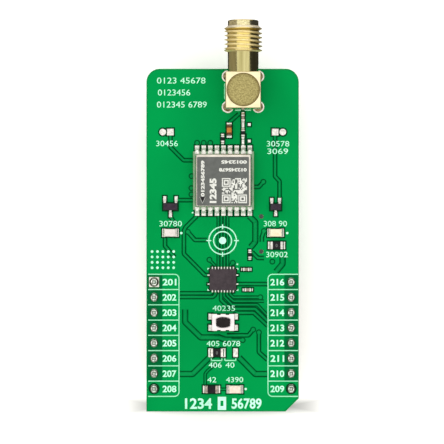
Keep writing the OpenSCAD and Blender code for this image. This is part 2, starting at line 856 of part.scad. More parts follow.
// Spring socket that turns down into the board
module jack_contact() {
    leg_h = leg_reach + board_t + pad_t + jack_axis_h;
    color(gold) difference() {
        union() {
            along_barrel() translate([0, 0, -contact_d / 2])
                cylinder(d = contact_d, h = mouth_y + contact_d / 2);
            translate([jack_x, jack_y, jack_axis_z - leg_h]) cylinder(d = contact_leg_d, h = leg_h);
        }
        along_barrel() translate([0, 0, mouth_y - contact_bore_l]) {
            cylinder(d = contact_bore_d, h = contact_bore_l + over);
            for (turn = [45, 135])
                rotate(turn) translate([-contact_d, -contact_slit / 2, contact_slit])
                    cube([2 * contact_d, contact_slit, contact_bore_l + over]);
        }
    }
}

// Solder that fills a plated hole and hangs in a cone under the board
module jack_joint() {
    translate([0, 0, board_low]) cylinder(d = leg_hole_d - 2 * fit_gap, h = seat_z - board_low);
    translate([0, 0, board_low]) mirror([0, 0, 1])
        solder_cone(leg_pad_d / 2, leg_side / sqrt(2) + pin_solder_lip, leg_solder_h);
}

module jack_solder() {
    leg_low = board_low - leg_reach - over;
    color(solder_grey) {
        for (place = leg_places)
            translate([jack_x + place[0], jack_y + place[1], 0]) difference() {
                jack_joint();
                translate([0, 0, leg_low]) slab(leg_side, leg_side, seat_z + over - leg_low);
            }
        translate([jack_x, jack_y, 0]) difference() {
            jack_joint();
            translate([0, 0, leg_low]) cylinder(d = contact_leg_d + 2 * fit_gap, h = seat_z + over - leg_low);
        }
    }
}

module module_board() {
    color("#1c7a4a") at_module() linear_extrude(module_t) difference() {
        square([module_w, module_l], center = true);
        at_each_edge_contact() circle(d = edge_hole_d);
    }
}

// Half-round plating in the edge, with a land on top
module edge_contact() {
    intersection() {
        difference() {
            union() {
                cylinder(d = edge_hole_d - 2 * fit_gap, h = module_t);
                translate([-edge_pad_w / 2, -edge_land_l, module_t]) cube([edge_pad_w, edge_land_l, pad_t]);
            }
            translate([0, 0, -over]) cylinder(d = edge_hole_d - 2 * edge_plating, h = module_t + 2 * over);
        }
        translate([-over, -2 * over, 0]) cube([2 * over, 2 * over, module_t + pad_t]);
    }
}

module module_contacts() {
    color("#e5e2d6") at_module() at_each_edge_contact() edge_contact();
}

// Solder in the half-round contact, running out on the pad
module edge_joint() {
    fill_d = edge_hole_d - 2 * edge_plating - 2 * fit_gap;
    intersection() {
        translate([-edge_pad_w / 2, -over, 0]) cube([edge_pad_w, over + edge_pad_out, module_t]);
        union() {
            cylinder(d = fill_d, h = module_t);
            intersection() {
                cylinder(r1 = edge_pad_w, r2 = fill_d / 2, h = module_t);
                translate([-over, 0, 0]) cube([2 * over, 2 * over, module_t]);
            }
        }
    }
}

module module_solder() {
    color(solder_grey) at_module() at_each_edge_contact() edge_joint();
}

// Thin can with folded upper edges and notches along its foot
module module_shield() {
    inner_w = shield_w - 2 * shield_t;
    inner_l = shield_l - 2 * shield_t;
    color("#6f706e") at_module(shield_z) difference() {
        intersection() {
            linear_extrude(shield_h) round_plan(shield_w, shield_l, shield_corner_r);
            rotate([90, 0, 0])
                linear_extrude(shield_l + over, center = true)
                    arched_section(shield_w, shield_h, shield_edge_r);
            rotate([90, 0, 90])
                linear_extrude(shield_w + over, center = true)
                    arched_section(shield_l, shield_h, shield_edge_r);
        }
        translate([0, 0, -over])
            linear_extrude(shield_h - shield_t + over)
                round_plan(inner_w, inner_l, shield_corner_r - shield_t);
        for (x = [-1, 0, 1])
            translate([x * shield_w / 4, 0, -over])
                slab(shield_notch_w, shield_l + over, over + shield_notch_h);
        for (y = [-1, 1])
            translate([0, y * shield_l / 6, -over])
                slab(shield_w + over, shield_notch_w, over + shield_notch_h);
    }
}

module module_receiver_chip() {
    color(moulded_black) at_module(module_t) translate(receiver_at)
        slab(receiver_side, receiver_side, receiver_h);
}

// Ceramic cup with a welded lid
module module_oscillator() {
    color("#b9b4a4") at_module(module_t) translate(oscillator_at) {
        slab(oscillator_l, oscillator_w, oscillator_h - oscillator_lid);
        slab(oscillator_l - 2 * oscillator_rim, oscillator_w - 2 * oscillator_rim, oscillator_h);
    }
}

module module_filters() {
    color("#cfc9b4") at_module(module_t)
        for (place = filter_places)
            translate(place) slab(filter_l, filter_w, filter_h);
}

module translator_body() {
    dimple_at = [lead_x(lead_count - 1), translator_l / 2 - lead_l - dimple_d / 2];
    color(moulded_black) on_board(translator_at) difference() {
        slab(translator_w, translator_l, translator_h);
        translator_metal();
        translate([dimple_at[0], dimple_at[1], translator_h - dimple_depth])
            cylinder(d = dimple_d, h = dimple_depth + over);
    }
}

module translator_metal() {
    at_each_lead() translate([-lead_w / 2, -lead_l, 0]) cube([lead_w, lead_l, lead_t]);
    slab(heat_pad_w, heat_pad_l, lead_t);
}

module translator_leads() {
    color(tin) on_board(translator_at) translator_metal();
}

module transistor_body(part) {
    color(moulded_black) on_board(part[0])
        translate([0, 0, transistor_lift])
            moulded_block(part[1], part[2], transistor_h, transistor_draft);
}

// Lead that leaves the body at its parting line and steps down to the pad
module bent_lead() {
    t = bent_lead_t;
    high = transistor_lift + transistor_h / 2 + t / 2;
    knee = bent_lead_reach - bent_lead_foot - t;
    rotate([90, 0, 90])
        linear_extrude(bent_lead_w, center = true)
            polygon([
                [0, high - t], [knee, high - t], [knee + t / 2, 0], [bent_lead_reach, 0],
                [bent_lead_reach, t], [knee + t * 3 / 2, t], [knee + t, high], [0, high]
            ]);
}

module transistor_leads(part) {
    color(tin) on_board(part[0]) {
        for (x = [-1, 1])
            translate([x * part[3] / 2, part[2] / 2, 0]) bent_lead();
        rotate(180) translate([0, part[2] / 2, 0]) bent_lead();
    }
}

module fix_transistor_body() { transistor_body(fix_transistor); }
module fix_transistor_leads() { transistor_leads(fix_transistor); }
module boot_transistor_body() { transistor_body(boot_transistor); }
module boot_transistor_leads() { transistor_leads(boot_transistor); }

// Ceramic inside the end terminals
module chip_core(chip) {
    size = chip[2];
    on_board(chip[0], chip[1])
        translate([0, 0, end_t]) slab(size[0] - 2 * end_t, size[1] - 2 * chip[3], size[2] - 2 * end_t);
}

// Terminals that wrap the two ends of a chip part
module chip_ends(chip) {
    size = chip[2];
    color(tin) difference() {
        on_board(chip[0], chip[1])
            for (side = [0, 180])
                rotate(side) translate([size[0] / 2 - size[3], -size[1] / 2, 0])
                    cube([size[3], size[1], size[2]]);
        chip_core(chip);
    }
}

// Hollow run of solder from the end of a chip part to its pad
module chip_joint(size) {
    r = min(solder_r, size[2] - end_t, size[4]);
    w = min(size[1], size[5]);
    translate([size[0] / 2, 0, 0]) difference() {
        translate([0, -w / 2, 0]) cube([r, w, r]);
        translate([r, 0, r]) rotate([90, 0, 0])
            cylinder(r = r - solder_edge, h = size[1] + over, center = true);
    }
}

module chip_solder() {
    color(solder_grey)
        for (chip = soldered_chips)
            on_board(chip[0], chip[1])
                for (side = [0, 180])
                    rotate(side) chip_joint(chip[2]);
}

module power_resistor_body() { color(moulded_black) chip_core(power_resistor); }
module power_resistor_ends() { chip_ends(power_resistor); }
module supply_link_body() { color(moulded_black) chip_core(supply_link); }
module supply_link_ends() { chip_ends(supply_link); }
module bus_link_body() { color(moulded_black) chip_core(bus_link); }
module bus_link_ends() { chip_ends(bus_link); }
module bias_inductor_body() { color("#cd8232") chip_core(bias_inductor); }
module bias_inductor_ends() { chip_ends(bias_inductor); }

module small_capacitor_bodies() {
    color("#c9b79a")
        for (chip = small_capacitors) chip_core(chip);
}

module small_capacitor_ends() {
    for (chip = small_capacitors) chip_ends(chip);
}

module small_resistor_bodies() {
    color(moulded_black)
        for (chip = small_resistors) chip_core(chip);
}

module small_resistor_ends() {
    for (chip = small_resistors) chip_ends(chip);
}

// Half-round notches in both ends of a light
module led_notches(chip) {
    on_board(chip[0], chip[1])
        for (x = [-1, 1])
            translate([x * chip[2][0] / 2, 0, -over]) cylinder(d = led_notch_d, h = chip[2][2] + 2 * over);
}

module led_core(chip) {
    size = chip[2];
    on_board(chip[0], chip[1])
        translate([0, 0, end_t]) slab(size[0] - 2 * end_t, size[1], size[2] - end_t);
}

module led_base(chip) {
    color(ceramic_white) difference() {
        led_core(chip);
        led_notches(chip);
    }
}

module led_ends(chip) {
    size = chip[2];
    color(tin) difference() {
        on_board(chip[0], chip[1])
            for (side = [0, 180])
                rotate(side) translate([size[0] / 2 - size[3], -size[1] / 2, 0])
                    cube([size[3], size[1], size[2]]);
        led_core(chip);
        led_notches(chip);
    }
}

// Cast lens that covers nearly the whole base, narrower at its top
module led_lens(chip) {
    size = chip[2];
    h = led_h - size[2];
    color("#f0ebcd") on_board(chip[0], chip[1])
        translate([0, 0, size[2]]) intersection() {
            rotate([90, 0, 0])
                linear_extrude(size[1] + over, center = true) lens_section(led_lens_l, h);
            rotate([90, 0, 90])
                linear_extrude(size[0] + over, center = true) lens_section(size[1], h);
        }
}

module lens_section(w, h) {
    polygon([[-w / 2, 0], [w / 2, 0], [w / 2 - led_draft, h], [-w / 2 + led_draft, h]]);
}

module fix_led_base() { led_base(fix_led); }
module fix_led_lens() { led_lens(fix_led); }
module fix_led_ends() { led_ends(fix_led); }
module data_led_base() { led_base(data_led); }
module data_led_lens() { led_lens(data_led); }
module data_led_ends() { led_ends(data_led); }
module power_led_base() { led_base(power_led); }
module power_led_lens() { led_lens(power_led); }
module power_led_ends() { led_ends(power_led); }

// Plan of the plunger, with straight short sides and bowed long sides
module plunger_plan(grow = 0) {
    bow = plunger_bow_r - plunger_l / 2;
    intersection() {
        square([plunger_w + 2 * grow, 2 * plunger_l], center = true);
        translate([0, bow]) circle(plunger_bow_r + grow);
        translate([0, -bow]) circle(plunger_bow_r + grow);
    }
}

// Moulded base with a well for the dome and the plunger's rim
module switch_base() {
    color("#4a4744") on_board(switch_at) difference() {
        slab(switch_w, switch_l - 2 * switch_cover_t, switch_base_h);
        translate([0, 0, switch_floor]) linear_extrude(switch_base_h)
            plunger_plan(plunger_rim + plunger_gap);
        translate([0, 0, switch_floor]) cylinder(d = dome_d + 2 * plunger_gap, h = switch_base_h);
    }
}

// Sheet cover with a window for the plunger and three folded tabs on each long side
module switch_cover() {
    tab_pitch = (switch_w - switch_tab_w) / 2;
    tab_y = switch_l / 2 - switch_cover_t;
    tab_z = switch_top - switch_tab_h;
    color("#dcdcd8") on_board(switch_at) {
        translate([0, 0, switch_base_h]) linear_extrude(switch_cover_t) difference() {
            square([switch_w, switch_l - 2 * switch_cover_t], center = true);
            plunger_plan(plunger_gap);
        }
        for (i = [-1, 0, 1], side = [0, 180])
            rotate(side)
                translate([i * tab_pitch - switch_tab_w / 2, tab_y, tab_z])
                    cube([switch_tab_w, switch_cover_t, switch_tab_h]);
    }
}

// Stepped terminals at the four corners
module switch_terminals() {
    rise = switch_base_h / 2;
    color(tin) on_board(switch_at)
        for (x = [0, 180], y = [-1, 1])
            rotate(x) translate([switch_w / 2, y * (switch_l - terminal_w) / 2, 0])
                rotate([90, 0, 0]) linear_extrude(terminal_w, center = true)
                    polygon([
                        [0, 0], [terminal_out, 0], [terminal_out, terminal_t],
                        [terminal_t, terminal_t], [terminal_t, rise], [0, rise]
                    ]);
}

module switch_dome() {
    color("#c8c8c4") on_board(switch_at) intersection() {
        translate([0, 0, dome_top - dome_sphere_r]) difference() {
            sphere(dome_sphere_r);
            sphere(dome_sphere_r - dome_t);
        }
        translate([0, 0, switch_floor]) cylinder(d = dome_d, h = dome_rise + over);
    }
}

module switch_plunger() {
    color("#1f1b1d") on_board(switch_at) {
        translate([0, 0, rim_low]) linear_extrude(plunger_rim_t) plunger_plan(plunger_rim);
        translate([0, 0, rim_low]) linear_extrude(plunger_top - rim_low) plunger_plan();
    }
}

circuit_board();
solder_pads();
left_header_strip();
right_header_strip();
left_header_pins();
right_header_pins();
header_solder();
jack_block();
jack_barrel();
jack_cap();
jack_insulator();
jack_bushing();
jack_contact();
jack_solder();
module_board();
module_contacts();
module_shield();
module_receiver_chip();
module_oscillator();
module_filters();
module_solder();
translator_body();
translator_leads();
fix_transistor_body();
fix_transistor_leads();
boot_transistor_body();
boot_transistor_leads();
fix_led_base();
fix_led_lens();
fix_led_ends();
data_led_base();
data_led_lens();
data_led_ends();
power_led_base();
power_led_lens();
power_led_ends();
power_resistor_body();
power_resistor_ends();
supply_link_body();
supply_link_ends();
bus_link_body();
bus_link_ends();
bias_inductor_body();
bias_inductor_ends();
small_capacitor_bodies();
small_capacitor_ends();
small_resistor_bodies();
small_resistor_ends();
chip_solder();
switch_base();
switch_cover();
switch_terminals();
switch_dome();
switch_plunger();
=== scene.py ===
import math

import bmesh
import bpy
from mathutils import Matrix, Vector


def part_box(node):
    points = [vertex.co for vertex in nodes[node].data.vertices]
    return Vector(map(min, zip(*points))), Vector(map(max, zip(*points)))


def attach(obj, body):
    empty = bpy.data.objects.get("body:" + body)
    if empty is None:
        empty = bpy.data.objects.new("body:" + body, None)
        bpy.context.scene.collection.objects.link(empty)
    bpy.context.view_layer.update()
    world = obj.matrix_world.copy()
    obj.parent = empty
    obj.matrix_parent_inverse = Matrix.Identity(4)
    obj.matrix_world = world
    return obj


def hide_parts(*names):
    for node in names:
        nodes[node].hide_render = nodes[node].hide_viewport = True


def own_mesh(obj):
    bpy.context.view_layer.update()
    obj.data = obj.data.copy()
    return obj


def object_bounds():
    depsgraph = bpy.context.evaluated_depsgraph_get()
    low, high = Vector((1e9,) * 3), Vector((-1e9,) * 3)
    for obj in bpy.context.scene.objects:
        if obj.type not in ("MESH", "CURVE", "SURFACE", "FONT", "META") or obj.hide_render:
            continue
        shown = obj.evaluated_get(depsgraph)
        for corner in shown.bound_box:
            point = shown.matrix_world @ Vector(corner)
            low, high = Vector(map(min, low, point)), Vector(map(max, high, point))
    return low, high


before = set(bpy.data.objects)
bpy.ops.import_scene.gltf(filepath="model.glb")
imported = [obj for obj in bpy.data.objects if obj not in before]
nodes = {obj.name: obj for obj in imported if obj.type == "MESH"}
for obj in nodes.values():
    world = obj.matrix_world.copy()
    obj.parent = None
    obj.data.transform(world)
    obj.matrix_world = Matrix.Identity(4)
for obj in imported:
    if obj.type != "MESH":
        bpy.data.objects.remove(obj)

# Plug-in receiver board with a threaded antenna jack, seen from straight above
mm = 0.001
scene = bpy.context.scene
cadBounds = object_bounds()
boardLow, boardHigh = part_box("circuit_board")
boardTop = boardHigh.z
weld = {"solids": 1e-7, "numbers": 1e-8}   # m within which two points are one
# Steps in a curve or a round
fineness = {"text": 3, "corner": 6, "arc": 8, "dot": 24, "disc": 28, "ring": 32, "sight": 48, "helix": 72}


def linear(code):
    steps = [int(code[i:i + 2], 16) / 255 for i in (1, 3, 5)]
    return [s / 12.92 if s <= 0.04045 else ((s + 0.055) / 1.055) ** 2.4 for s in steps] + [1]


def addNode(tree, kind, inputs=None, **settings):
    node = tree.nodes.new(kind)
    for name, value in settings.items():
        setattr(node, name, value)
    for socket, value in (inputs or {}).items():
        if isinstance(value, bpy.types.Node):
            value = value.outputs[0]
        if isinstance(value, bpy.types.NodeSocket):
            tree.links.new(value, node.inputs[socket])
        else:
            node.inputs[socket].default_value = value
    return node


def addPiece(name, mesh, body="board", replaced=()):
    piece = bpy.data.objects.new(name, mesh)
    scene.collection.objects.link(piece)
    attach(piece, body)
    if replaced:
        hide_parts(*replaced)
    return piece


# View in mm, with clip and lamps in m
shot = {"middle": (-0.1, 18.9), "height": 404, "lens": 194.4, "sensor": 36, "clip": (0.01, 20)}
camera = bpy.data.objects.new("camera", bpy.data.cameras.new("camera"))
camera.location = Vector((*shot["middle"], shot["height"])) * mm
camera.data.lens = shot["lens"]
camera.data.sensor_width = shot["sensor"]
camera.data.clip_start, camera.data.clip_end = shot["clip"]
scene.collection.objects.link(camera)
scene.camera = camera
scene.view_settings.view_transform = "Standard"

# A wide box overhead, upright cards beyond both ends, a warm card on the left and a narrow one below
# that only the thread reflects; the right side stays dark
room = {"tint": "#48484b", "strength": 1.0}
lamps = {
    "softbox": {"place": (0, 0.14, 0.62), "turn": (0, 0, 0), "size": (1.4, 1.9), "watts": 13.4,
                "tint": "#fffdf8"},
    "leftCard": {"place": (-0.8, 0, -0.05), "turn": (0, -90, 0), "size": (1.3, 1.6), "watts": 3.4,
                 "tint": "#fff2dd"},
    "farCard": {"place": (0, 1.15, 0.05), "turn": (-90, 0, 0), "size": (1.3, 1.3), "watts": 5.6,
                "tint": "#fffaf0"},
    "nearCard": {"place": (0, -0.9, 0.05), "turn": (90, 0, 0), "size": (1.3, 1.3), "watts": 5.6,
                 "tint": "#fffaf0"},
    "lowCard": {"place": (0, 0.04, -0.6), "turn": (180, 0, 0), "size": (0.3, 1.7), "watts": 1.6,
                "tint": "#fff8e8"},
}
for name, lamp in lamps.items():
    light = bpy.data.lights.new(name, "AREA")
    light.shape = "RECTANGLE"
    light.size, light.size_y = lamp["size"]
    light.energy = lamp["watts"]
    light.color = linear(lamp["tint"])[:3]
    holder = bpy.data.objects.new(name, light)
    holder.location = lamp["place"]
    holder.rotation_euler = [math.radians(a) for a in lamp["turn"]]
    holder.visible_camera = False
    scene.collection.objects.link(holder)
scene.world = bpy.data.worlds.new("dim room")
scene.world.use_nodes = True
background = scene.world.node_tree.nodes["Background"]
background.inputs["Color"].default_value = linear(room["tint"])
background.inputs["Strength"].default_value = room["strength"]
print("view and light")


# Finishes: two close colours mottled over a real distance, and a fine tooth on the surface
noise = {"low": 0.3, "high": 0.7, "mottle": 2.0, "tooth": 1.0}   # usual span, then detail


def makeFinish(name, look):
    material = bpy.data.materials.new(name)
    material.use_nodes = True
    tree = material.node_tree
    shader = tree.nodes["Principled BSDF"]
    place = addNode(tree, "ShaderNodeTexCoord").outputs["Object"]
    drawn = addNode(tree, "ShaderNodeVectorMath", {0: place, 1: look.get("drawn", (1, 1, 1))},
                    operation="MULTIPLY")
    mottle = addNode(tree, "ShaderNodeTexNoise",
                     {"Vector": drawn, "Scale": 1 / (look["mottle"] * mm), "Detail": noise["mottle"]})
    shade = addNode(tree, "ShaderNodeMapRange", {0: mottle, 1: noise["low"], 2: noise["high"]})
    toothSize, toothDepth = look["tooth"]
    tooth = addNode(tree, "ShaderNodeTexNoise",
                    {"Vector": drawn, "Scale": 1 / (toothSize * mm), "Detail": noise["tooth"]})
    colour = addNode(tree, "ShaderNodeMix",
                     {0: shade, 6: linear(look["colours"][0]), 7: linear(look["colours"][1])},
                     data_type="RGBA").outputs[2]
    rough = addNode(tree, "ShaderNodeMapRange",
                    {0: tooth, 1: noise["low"], 2: noise["high"], 3: look["rough"][0], 4: look["rough"][1]})
    bump = addNode(tree, "ShaderNodeBump", {"Height": tooth, "Distance": toothDepth * mm})
    tree.links.new(colour, shader.inputs["Base Color"])
    tree.links.new(rough.outputs[0], shader.inputs["Roughness"])
    tree.links.new(bump.outputs[0], shader.inputs["Normal"])
    shader.inputs["Metallic"].default_value = look.get("metal", 0)
    if "gloss" in look:
        shader.inputs["Specular IOR Level"].default_value = look["gloss"]
    return {"material": material, "tree": tree, "shader": shader, "place": place, "colour": colour}


# Gives a share of a finish another colour
def cover(finish, share, colour):
    mixed = addNode(finish["tree"], "ShaderNodeMix", {0: share, 6: finish["colour"], 7: colour},
                    data_type="RGBA").outputs[2]
    finish["tree"].links.new(mixed, finish["shader"].inputs["Base Color"])


looks = {
    # Sprayed and cured over a copper pour: an even bright green, slowly cloudy and almost dry
    "solder mask over copper": {"colours": ("#008843", "#009348"), "mottle": 13, "tooth": (0.9, 0.001),
        "rough": (0.34, 0.46), "gloss": 0.01},
    # The same film where the copper is etched away, so the dark laminate shows through
    "solder mask over laminate": {"colours": ("#003a1a", "#004623"), "mottle": 4, "tooth": (0.7, 0.001),
        "rough": (0.36, 0.5), "gloss": 0.01},
    # A gap between track and pour is so narrow that the film bridges it thinly
    "solder mask over gap": {"colours": ("#004a22", "#005629"), "mottle": 3, "tooth": (0.7, 0.001),
        "rough": (0.36, 0.5), "gloss": 0.01},
    # The same film along the pins, where copper lies deeper in the laminate
    "solder mask over inner copper": {"colours": ("#006030", "#006a36"), "mottle": 3,
        "tooth": (0.7, 0.001), "rough": (0.36, 0.5), "gloss": 0.01},
    # The film thins over a lone track, and the tinned copper greys it a little
    "solder mask over track": {"colours": ("#008242", "#068e49"), "mottle": 6, "tooth": (0.7, 0.001),
        "rough": (0.3, 0.42), "gloss": 0.02},
    # Screened epoxy ink, thin enough for the green to tint it
    "legend ink": {"colours": ("#a9f0d0", "#c8fbe7"), "mottle": 1.2, "tooth": (0.4, 0.002),
        "rough": (0.6, 0.75)},
    # The same ink starves in the screen's narrow lines and shows more green
    "legend ink, thin": {"colours": ("#8ae6b8", "#a6f4ce"), "mottle": 2.5, "tooth": (0.4, 0.002),
        "rough": (0.6, 0.75)},
    # Hot-air levelled tin: bright, slightly uneven
    "tinned copper": {"colours": ("#a5a39e", "#dad8d3"), "mottle": 0.35, "tooth": (0.5, 0.004),
        "rough": (0.2, 0.36), "metal": 1},
    # Reflowed and frozen: smooth and bright with a few dull patches
    "solder": {"colours": ("#b4b2ac", "#dcdad5"), "mottle": 0.4, "tooth": (0.5, 0.003),
        "rough": (0.2, 0.36), "metal": 1},
    # Fillets between module and board, frozen in a dull skin that catches light from every side
    "solder, fillet": {"colours": ("#e4e8e2", "#fafcf8"), "mottle": 0.4, "tooth": (0.4, 0.003),
        "rough": (0.6, 0.75), "metal": 1},
    # Painted shade on the power resistor's ends: grey-brown and spent
    "solder, painted shade": {"colours": ("#584c45", "#b3a79d"), "mottle": 0.3, "tooth": (0.3, 0.01),
        "rough": (0.35, 0.5), "metal": 1},
    # Painted shade on the first pin's joint: a thin dark glassy film
    "painted joint shade": {"colours": ("#2a331e", "#55543a"), "mottle": 0.4, "tooth": (0.3, 0.002),
        "rough": (0.3, 0.45), "gloss": 0.2},
    # Soldered by hand with an iron: grey, grainy and full of small dents
    "solder, hand": {"colours": ("#747b71", "#f6f9f4"), "mottle": 0.3, "tooth": (0.4, 0.04),
        "rough": (0.26, 0.42), "metal": 1},
    # Painted shade of the jack's block on the joints it shades: dark with brown patches
    "solder, painted block shade": {"colours": ("#3d3a24", "#a08f6c"), "mottle": 0.45, "tooth": (0.35, 0.04),
        "rough": (0.35, 0.5), "metal": 1},
    # Glass-filled nylon from a textured mould
    "header plastic": {"colours": ("#0f0f10", "#1a1a1b"), "mottle": 2, "tooth": (0.25, 0.006),
        "rough": (0.45, 0.6)},
    # Drawn pin stock under a gold flash: fine lines along the pin
    "gold pin": {"colours": ("#d8bb72", "#ead08c"), "mottle": 2, "tooth": (0.12, 0.002),
        "drawn": (1, 1, 0.06), "rough": (0.18, 0.3), "metal": 1},
    # Thick bright gold on a milled block: a pale mirror with faint long clouds
    "gold plate, polished": {"colours": ("#cdbf98", "#e6dab8"), "mottle": 1.6, "tooth": (0.8, 0.0015),
        "rough": (0.16, 0.26), "metal": 1},
    # Turned on a bar lathe and plated: the cut shows as fine rings on the thread
    "gold plate, turned": {"colours": ("#c2af68", "#d8c684"), "mottle": 1.5, "tooth": (0.2, 0.0015),
        "drawn": (0.25, 1, 0.25), "rough": (0.16, 0.28), "metal": 1},
    # The thread's crests, burnished by every nut, and its first cone: pale and soft, partly wear and partly
    # painted highlight
    "gold plate, worn_with_painted_highlight": {"colours": ("#ecdca2", "#faefc6"), "mottle": 0.8, "tooth": (0.2, 0.002),
        "rough": (0.55, 0.7), "metal": 1},
    # The thread's run-out: almost white, a painted highlight
    "gold plate, painted_highlight": {"colours": ("#fff2d2", "#fffaea"), "mottle": 0.8, "tooth": (0.2, 0.002),
        "rough": (0.5, 0.65), "metal": 1},
    # Nose tumbled with the part: a fine speckle
    "gold plate, tumbled": {"colours": ("#aea47a", "#ded5ae"), "mottle": 0.25, "tooth": (0.2, 0.004),
        "rough": (0.16, 0.26), "metal": 1},
    # Neck polished along its length after turning, so long fine streaks cross the old cut
    "gold plate, brushed": {"colours": ("#98905f", "#b3ab7a"), "mottle": 0.5, "tooth": (0.3, 0.004),
        "drawn": (1, 0.06, 1), "rough": (0.16, 0.26), "metal": 1},
    # Pressed cap with a sanded face: a dull stipple that hides every reflection
    "gold plate, sanded": {"colours": ("#80764a", "#b0a56f"), "mottle": 0.24, "tooth": (0.2, 0.02),
        "rough": (0.45, 0.6), "metal": 1},
    # Turned fluoropolymer: waxy white
    "fluoropolymer": {"colours": ("#e2e0d8", "#f0eee8"), "mottle": 1, "tooth": (0.3, 0.002),
        "rough": (0.5, 0.62)},
    # Thin laminate of the module under a dull film: a greyed green
    "module laminate": {"colours": ("#78987a", "#90b08f"), "mottle": 1.6, "tooth": (0.3, 0.002),
        "rough": (0.5, 0.65), "gloss": 0.1},
    # Tinned steel can, bent from sheet: bright rounded edges
    "shield steel": {"colours": ("#b4aea5", "#cac5bb"), "mottle": 1.5, "tooth": (0.5, 0.002),
        "rough": (0.22, 0.34), "metal": 1},
    # The can's flat top, blasted by the marking laser to an even dull grey
    "laser grey": {"colours": ("#575a58", "#626563"), "mottle": 0.9, "tooth": (0.22, 0.003),
        "rough": (0.55, 0.7), "gloss": 0.2},
    # Spots of the can that the laser left bright, dulled by handling
    "laser white": {"colours": ("#ced1cb", "#dfe1dc"), "mottle": 0.8, "tooth": (0.3, 0.002),
        "rough": (0.5, 0.65)},
    # Moulded epoxy with glass beads: a dry dark grey
    "mould compound": {"colours": ("#352e33", "#423a3f"), "mottle": 0.6, "tooth": (0.2, 0.004),
        "rough": (0.55, 0.7), "gloss": 0.15},
    # Small packages come from a finer, blacker compound
    "black compound": {"colours": ("#2a212d", "#3a2f3c"), "mottle": 0.5, "tooth": (0.2, 0.003),
        "rough": (0.4, 0.55), "gloss": 0.12},
    # Overglaze printed and fired on the chip resistors
    "resistor glaze": {"colours": ("#0f0d10", "#1d1a1e"), "mottle": 0.5, "tooth": (0.25, 0.002),
        "rough": (0.3, 0.44), "gloss": 0.12},
    # Fired titanate: grey with a touch of pink, a little shiny
    "capacitor ceramic": {"colours": ("#85796f", "#9c9086"), "mottle": 0.4, "tooth": (0.25, 0.002),
        "rough": (0.34, 0.48), "gloss": 0.2},
    # Fired body with its printed winding under the skin
    "inductor ceramic": {"colours": ("#b26c26", "#c47f36"), "mottle": 0.5, "tooth": (0.25, 0.002),
        "rough": (0.25, 0.4), "gloss": 0.2},
    # Silver paste fired on the inductor's ends, left without tin and browned by the oven
    "fired paste": {"colours": ("#42260f", "#66401f"), "mottle": 0.3, "tooth": (0.25, 0.003),
        "rough": (0.45, 0.6), "gloss": 0.15},
    # Moulded phosphor-filled resin, satin
    "lens epoxy, cream": {"colours": ("#e2d5b4", "#efe5cb"), "mottle": 0.6, "tooth": (0.3, 0.001),
        "rough": (0.26, 0.36), "gloss": 0.2},
    # Clear resin over a pale die bed
    "lens epoxy, clear": {"colours": ("#d0c8c5", "#e2dcd9"), "mottle": 0.6, "tooth": (0.3, 0.001),
        "rough": (0.2, 0.3), "gloss": 0.2},
    # The same resin over a warmer die
    "lens epoxy, rose": {"colours": ("#e2cbbd", "#f0e2d4"), "mottle": 0.6, "tooth": (0.3, 0.001),
        "rough": (0.2, 0.3), "gloss": 0.2},
    # White epoxy laminate that carries the lamp dies
    "light laminate": {"colours": ("#d8d4c9", "#e8e5db"), "mottle": 0.9, "tooth": (0.3, 0.001),
        "rough": (0.4, 0.5)},
    # Stamped stainless sheet: fine rolling lines across the switch
    "switch steel": {"colours": ("#c8c1c2", "#dcd6d7"), "mottle": 1, "tooth": (0.2, 0.002),
        "drawn": (0.1, 1, 1), "rough": (0.28, 0.4), "metal": 1},
    # Brown-black nylon base of the switch, dull from the mould
    "switch plastic": {"colours": ("#2b2523", "#3a3330"), "mottle": 0.8, "tooth": (0.25, 0.003),
        "rough": (0.45, 0.6), "gloss": 0.15},
    # Moulded plunger, polished by fingers in the middle
    "plunger plastic": {"colours": ("#171213", "#211b1d"), "mottle": 0.8, "tooth": (0.3, 0.002),
        "rough": (0.4, 0.55), "gloss": 0.12},
    # Coated paper of the studio: matt and almost white
    "white card": {"colours": ("#f6f6f6", "#fbfbfb"), "mottle": 30, "tooth": (2, 0.001),
        "rough": (0.8, 0.9), "gloss": 0.1},
}
finishes = {name: makeFinish(name, look) for name, look in looks.items()}

# Cut edges of the board show bare laminate, with the glass cloth as fine layers
mask = finishes["solder mask over copper"]
edge = {"resin": "#8f9a5a", "glass": "#b9bd84", "layer": 0.2, "steep": 0.5}   # mm between layers
tree = mask["tree"]
normal = addNode(tree, "ShaderNodeNewGeometry").outputs["True Normal"]
facing = addNode(tree, "ShaderNodeSeparateXYZ", {0: normal}).outputs["Z"]
upright = addNode(tree, "ShaderNodeMath", {0: facing}, operation="ABSOLUTE")
isEdge = addNode(tree, "ShaderNodeMath", {0: upright, 1: edge["steep"]}, operation="LESS_THAN")
height = addNode(tree, "ShaderNodeSeparateXYZ", {0: mask["place"]}).outputs["Z"]
layers = addNode(tree, "ShaderNodeMath", {0: height, 1: 2 * math.pi / (edge["layer"] * mm)},
                 operation="MULTIPLY")
wave = addNode(tree, "ShaderNodeMath", {0: layers}, operation="SINE")
band = addNode(tree, "ShaderNodeMapRange", {0: wave, 1: -1, 2: 1})
laminate = addNode(tree, "ShaderNodeMix", {0: band, 6: linear(edge["resin"]), 7: linear(edge["glass"])},
                   data_type="RGBA").outputs[2]
cover(mask, isEdge, laminate)

# Solder covers the pins above the board; below it they stay gold
pin = finishes["gold pin"]
wet = {"colour": "#a3aaa3", "above": boardTop}
pinHeight = addNode(pin["tree"], "ShaderNodeSeparateXYZ", {0: pin["place"]}).outputs["Z"]
wetted = addNode(pin["tree"], "ShaderNodeMath", {0: pinHeight, 1: wet["above"]}, operation="GREATER_THAN")
cover(pin, wetted, linear(wet["colour"]))
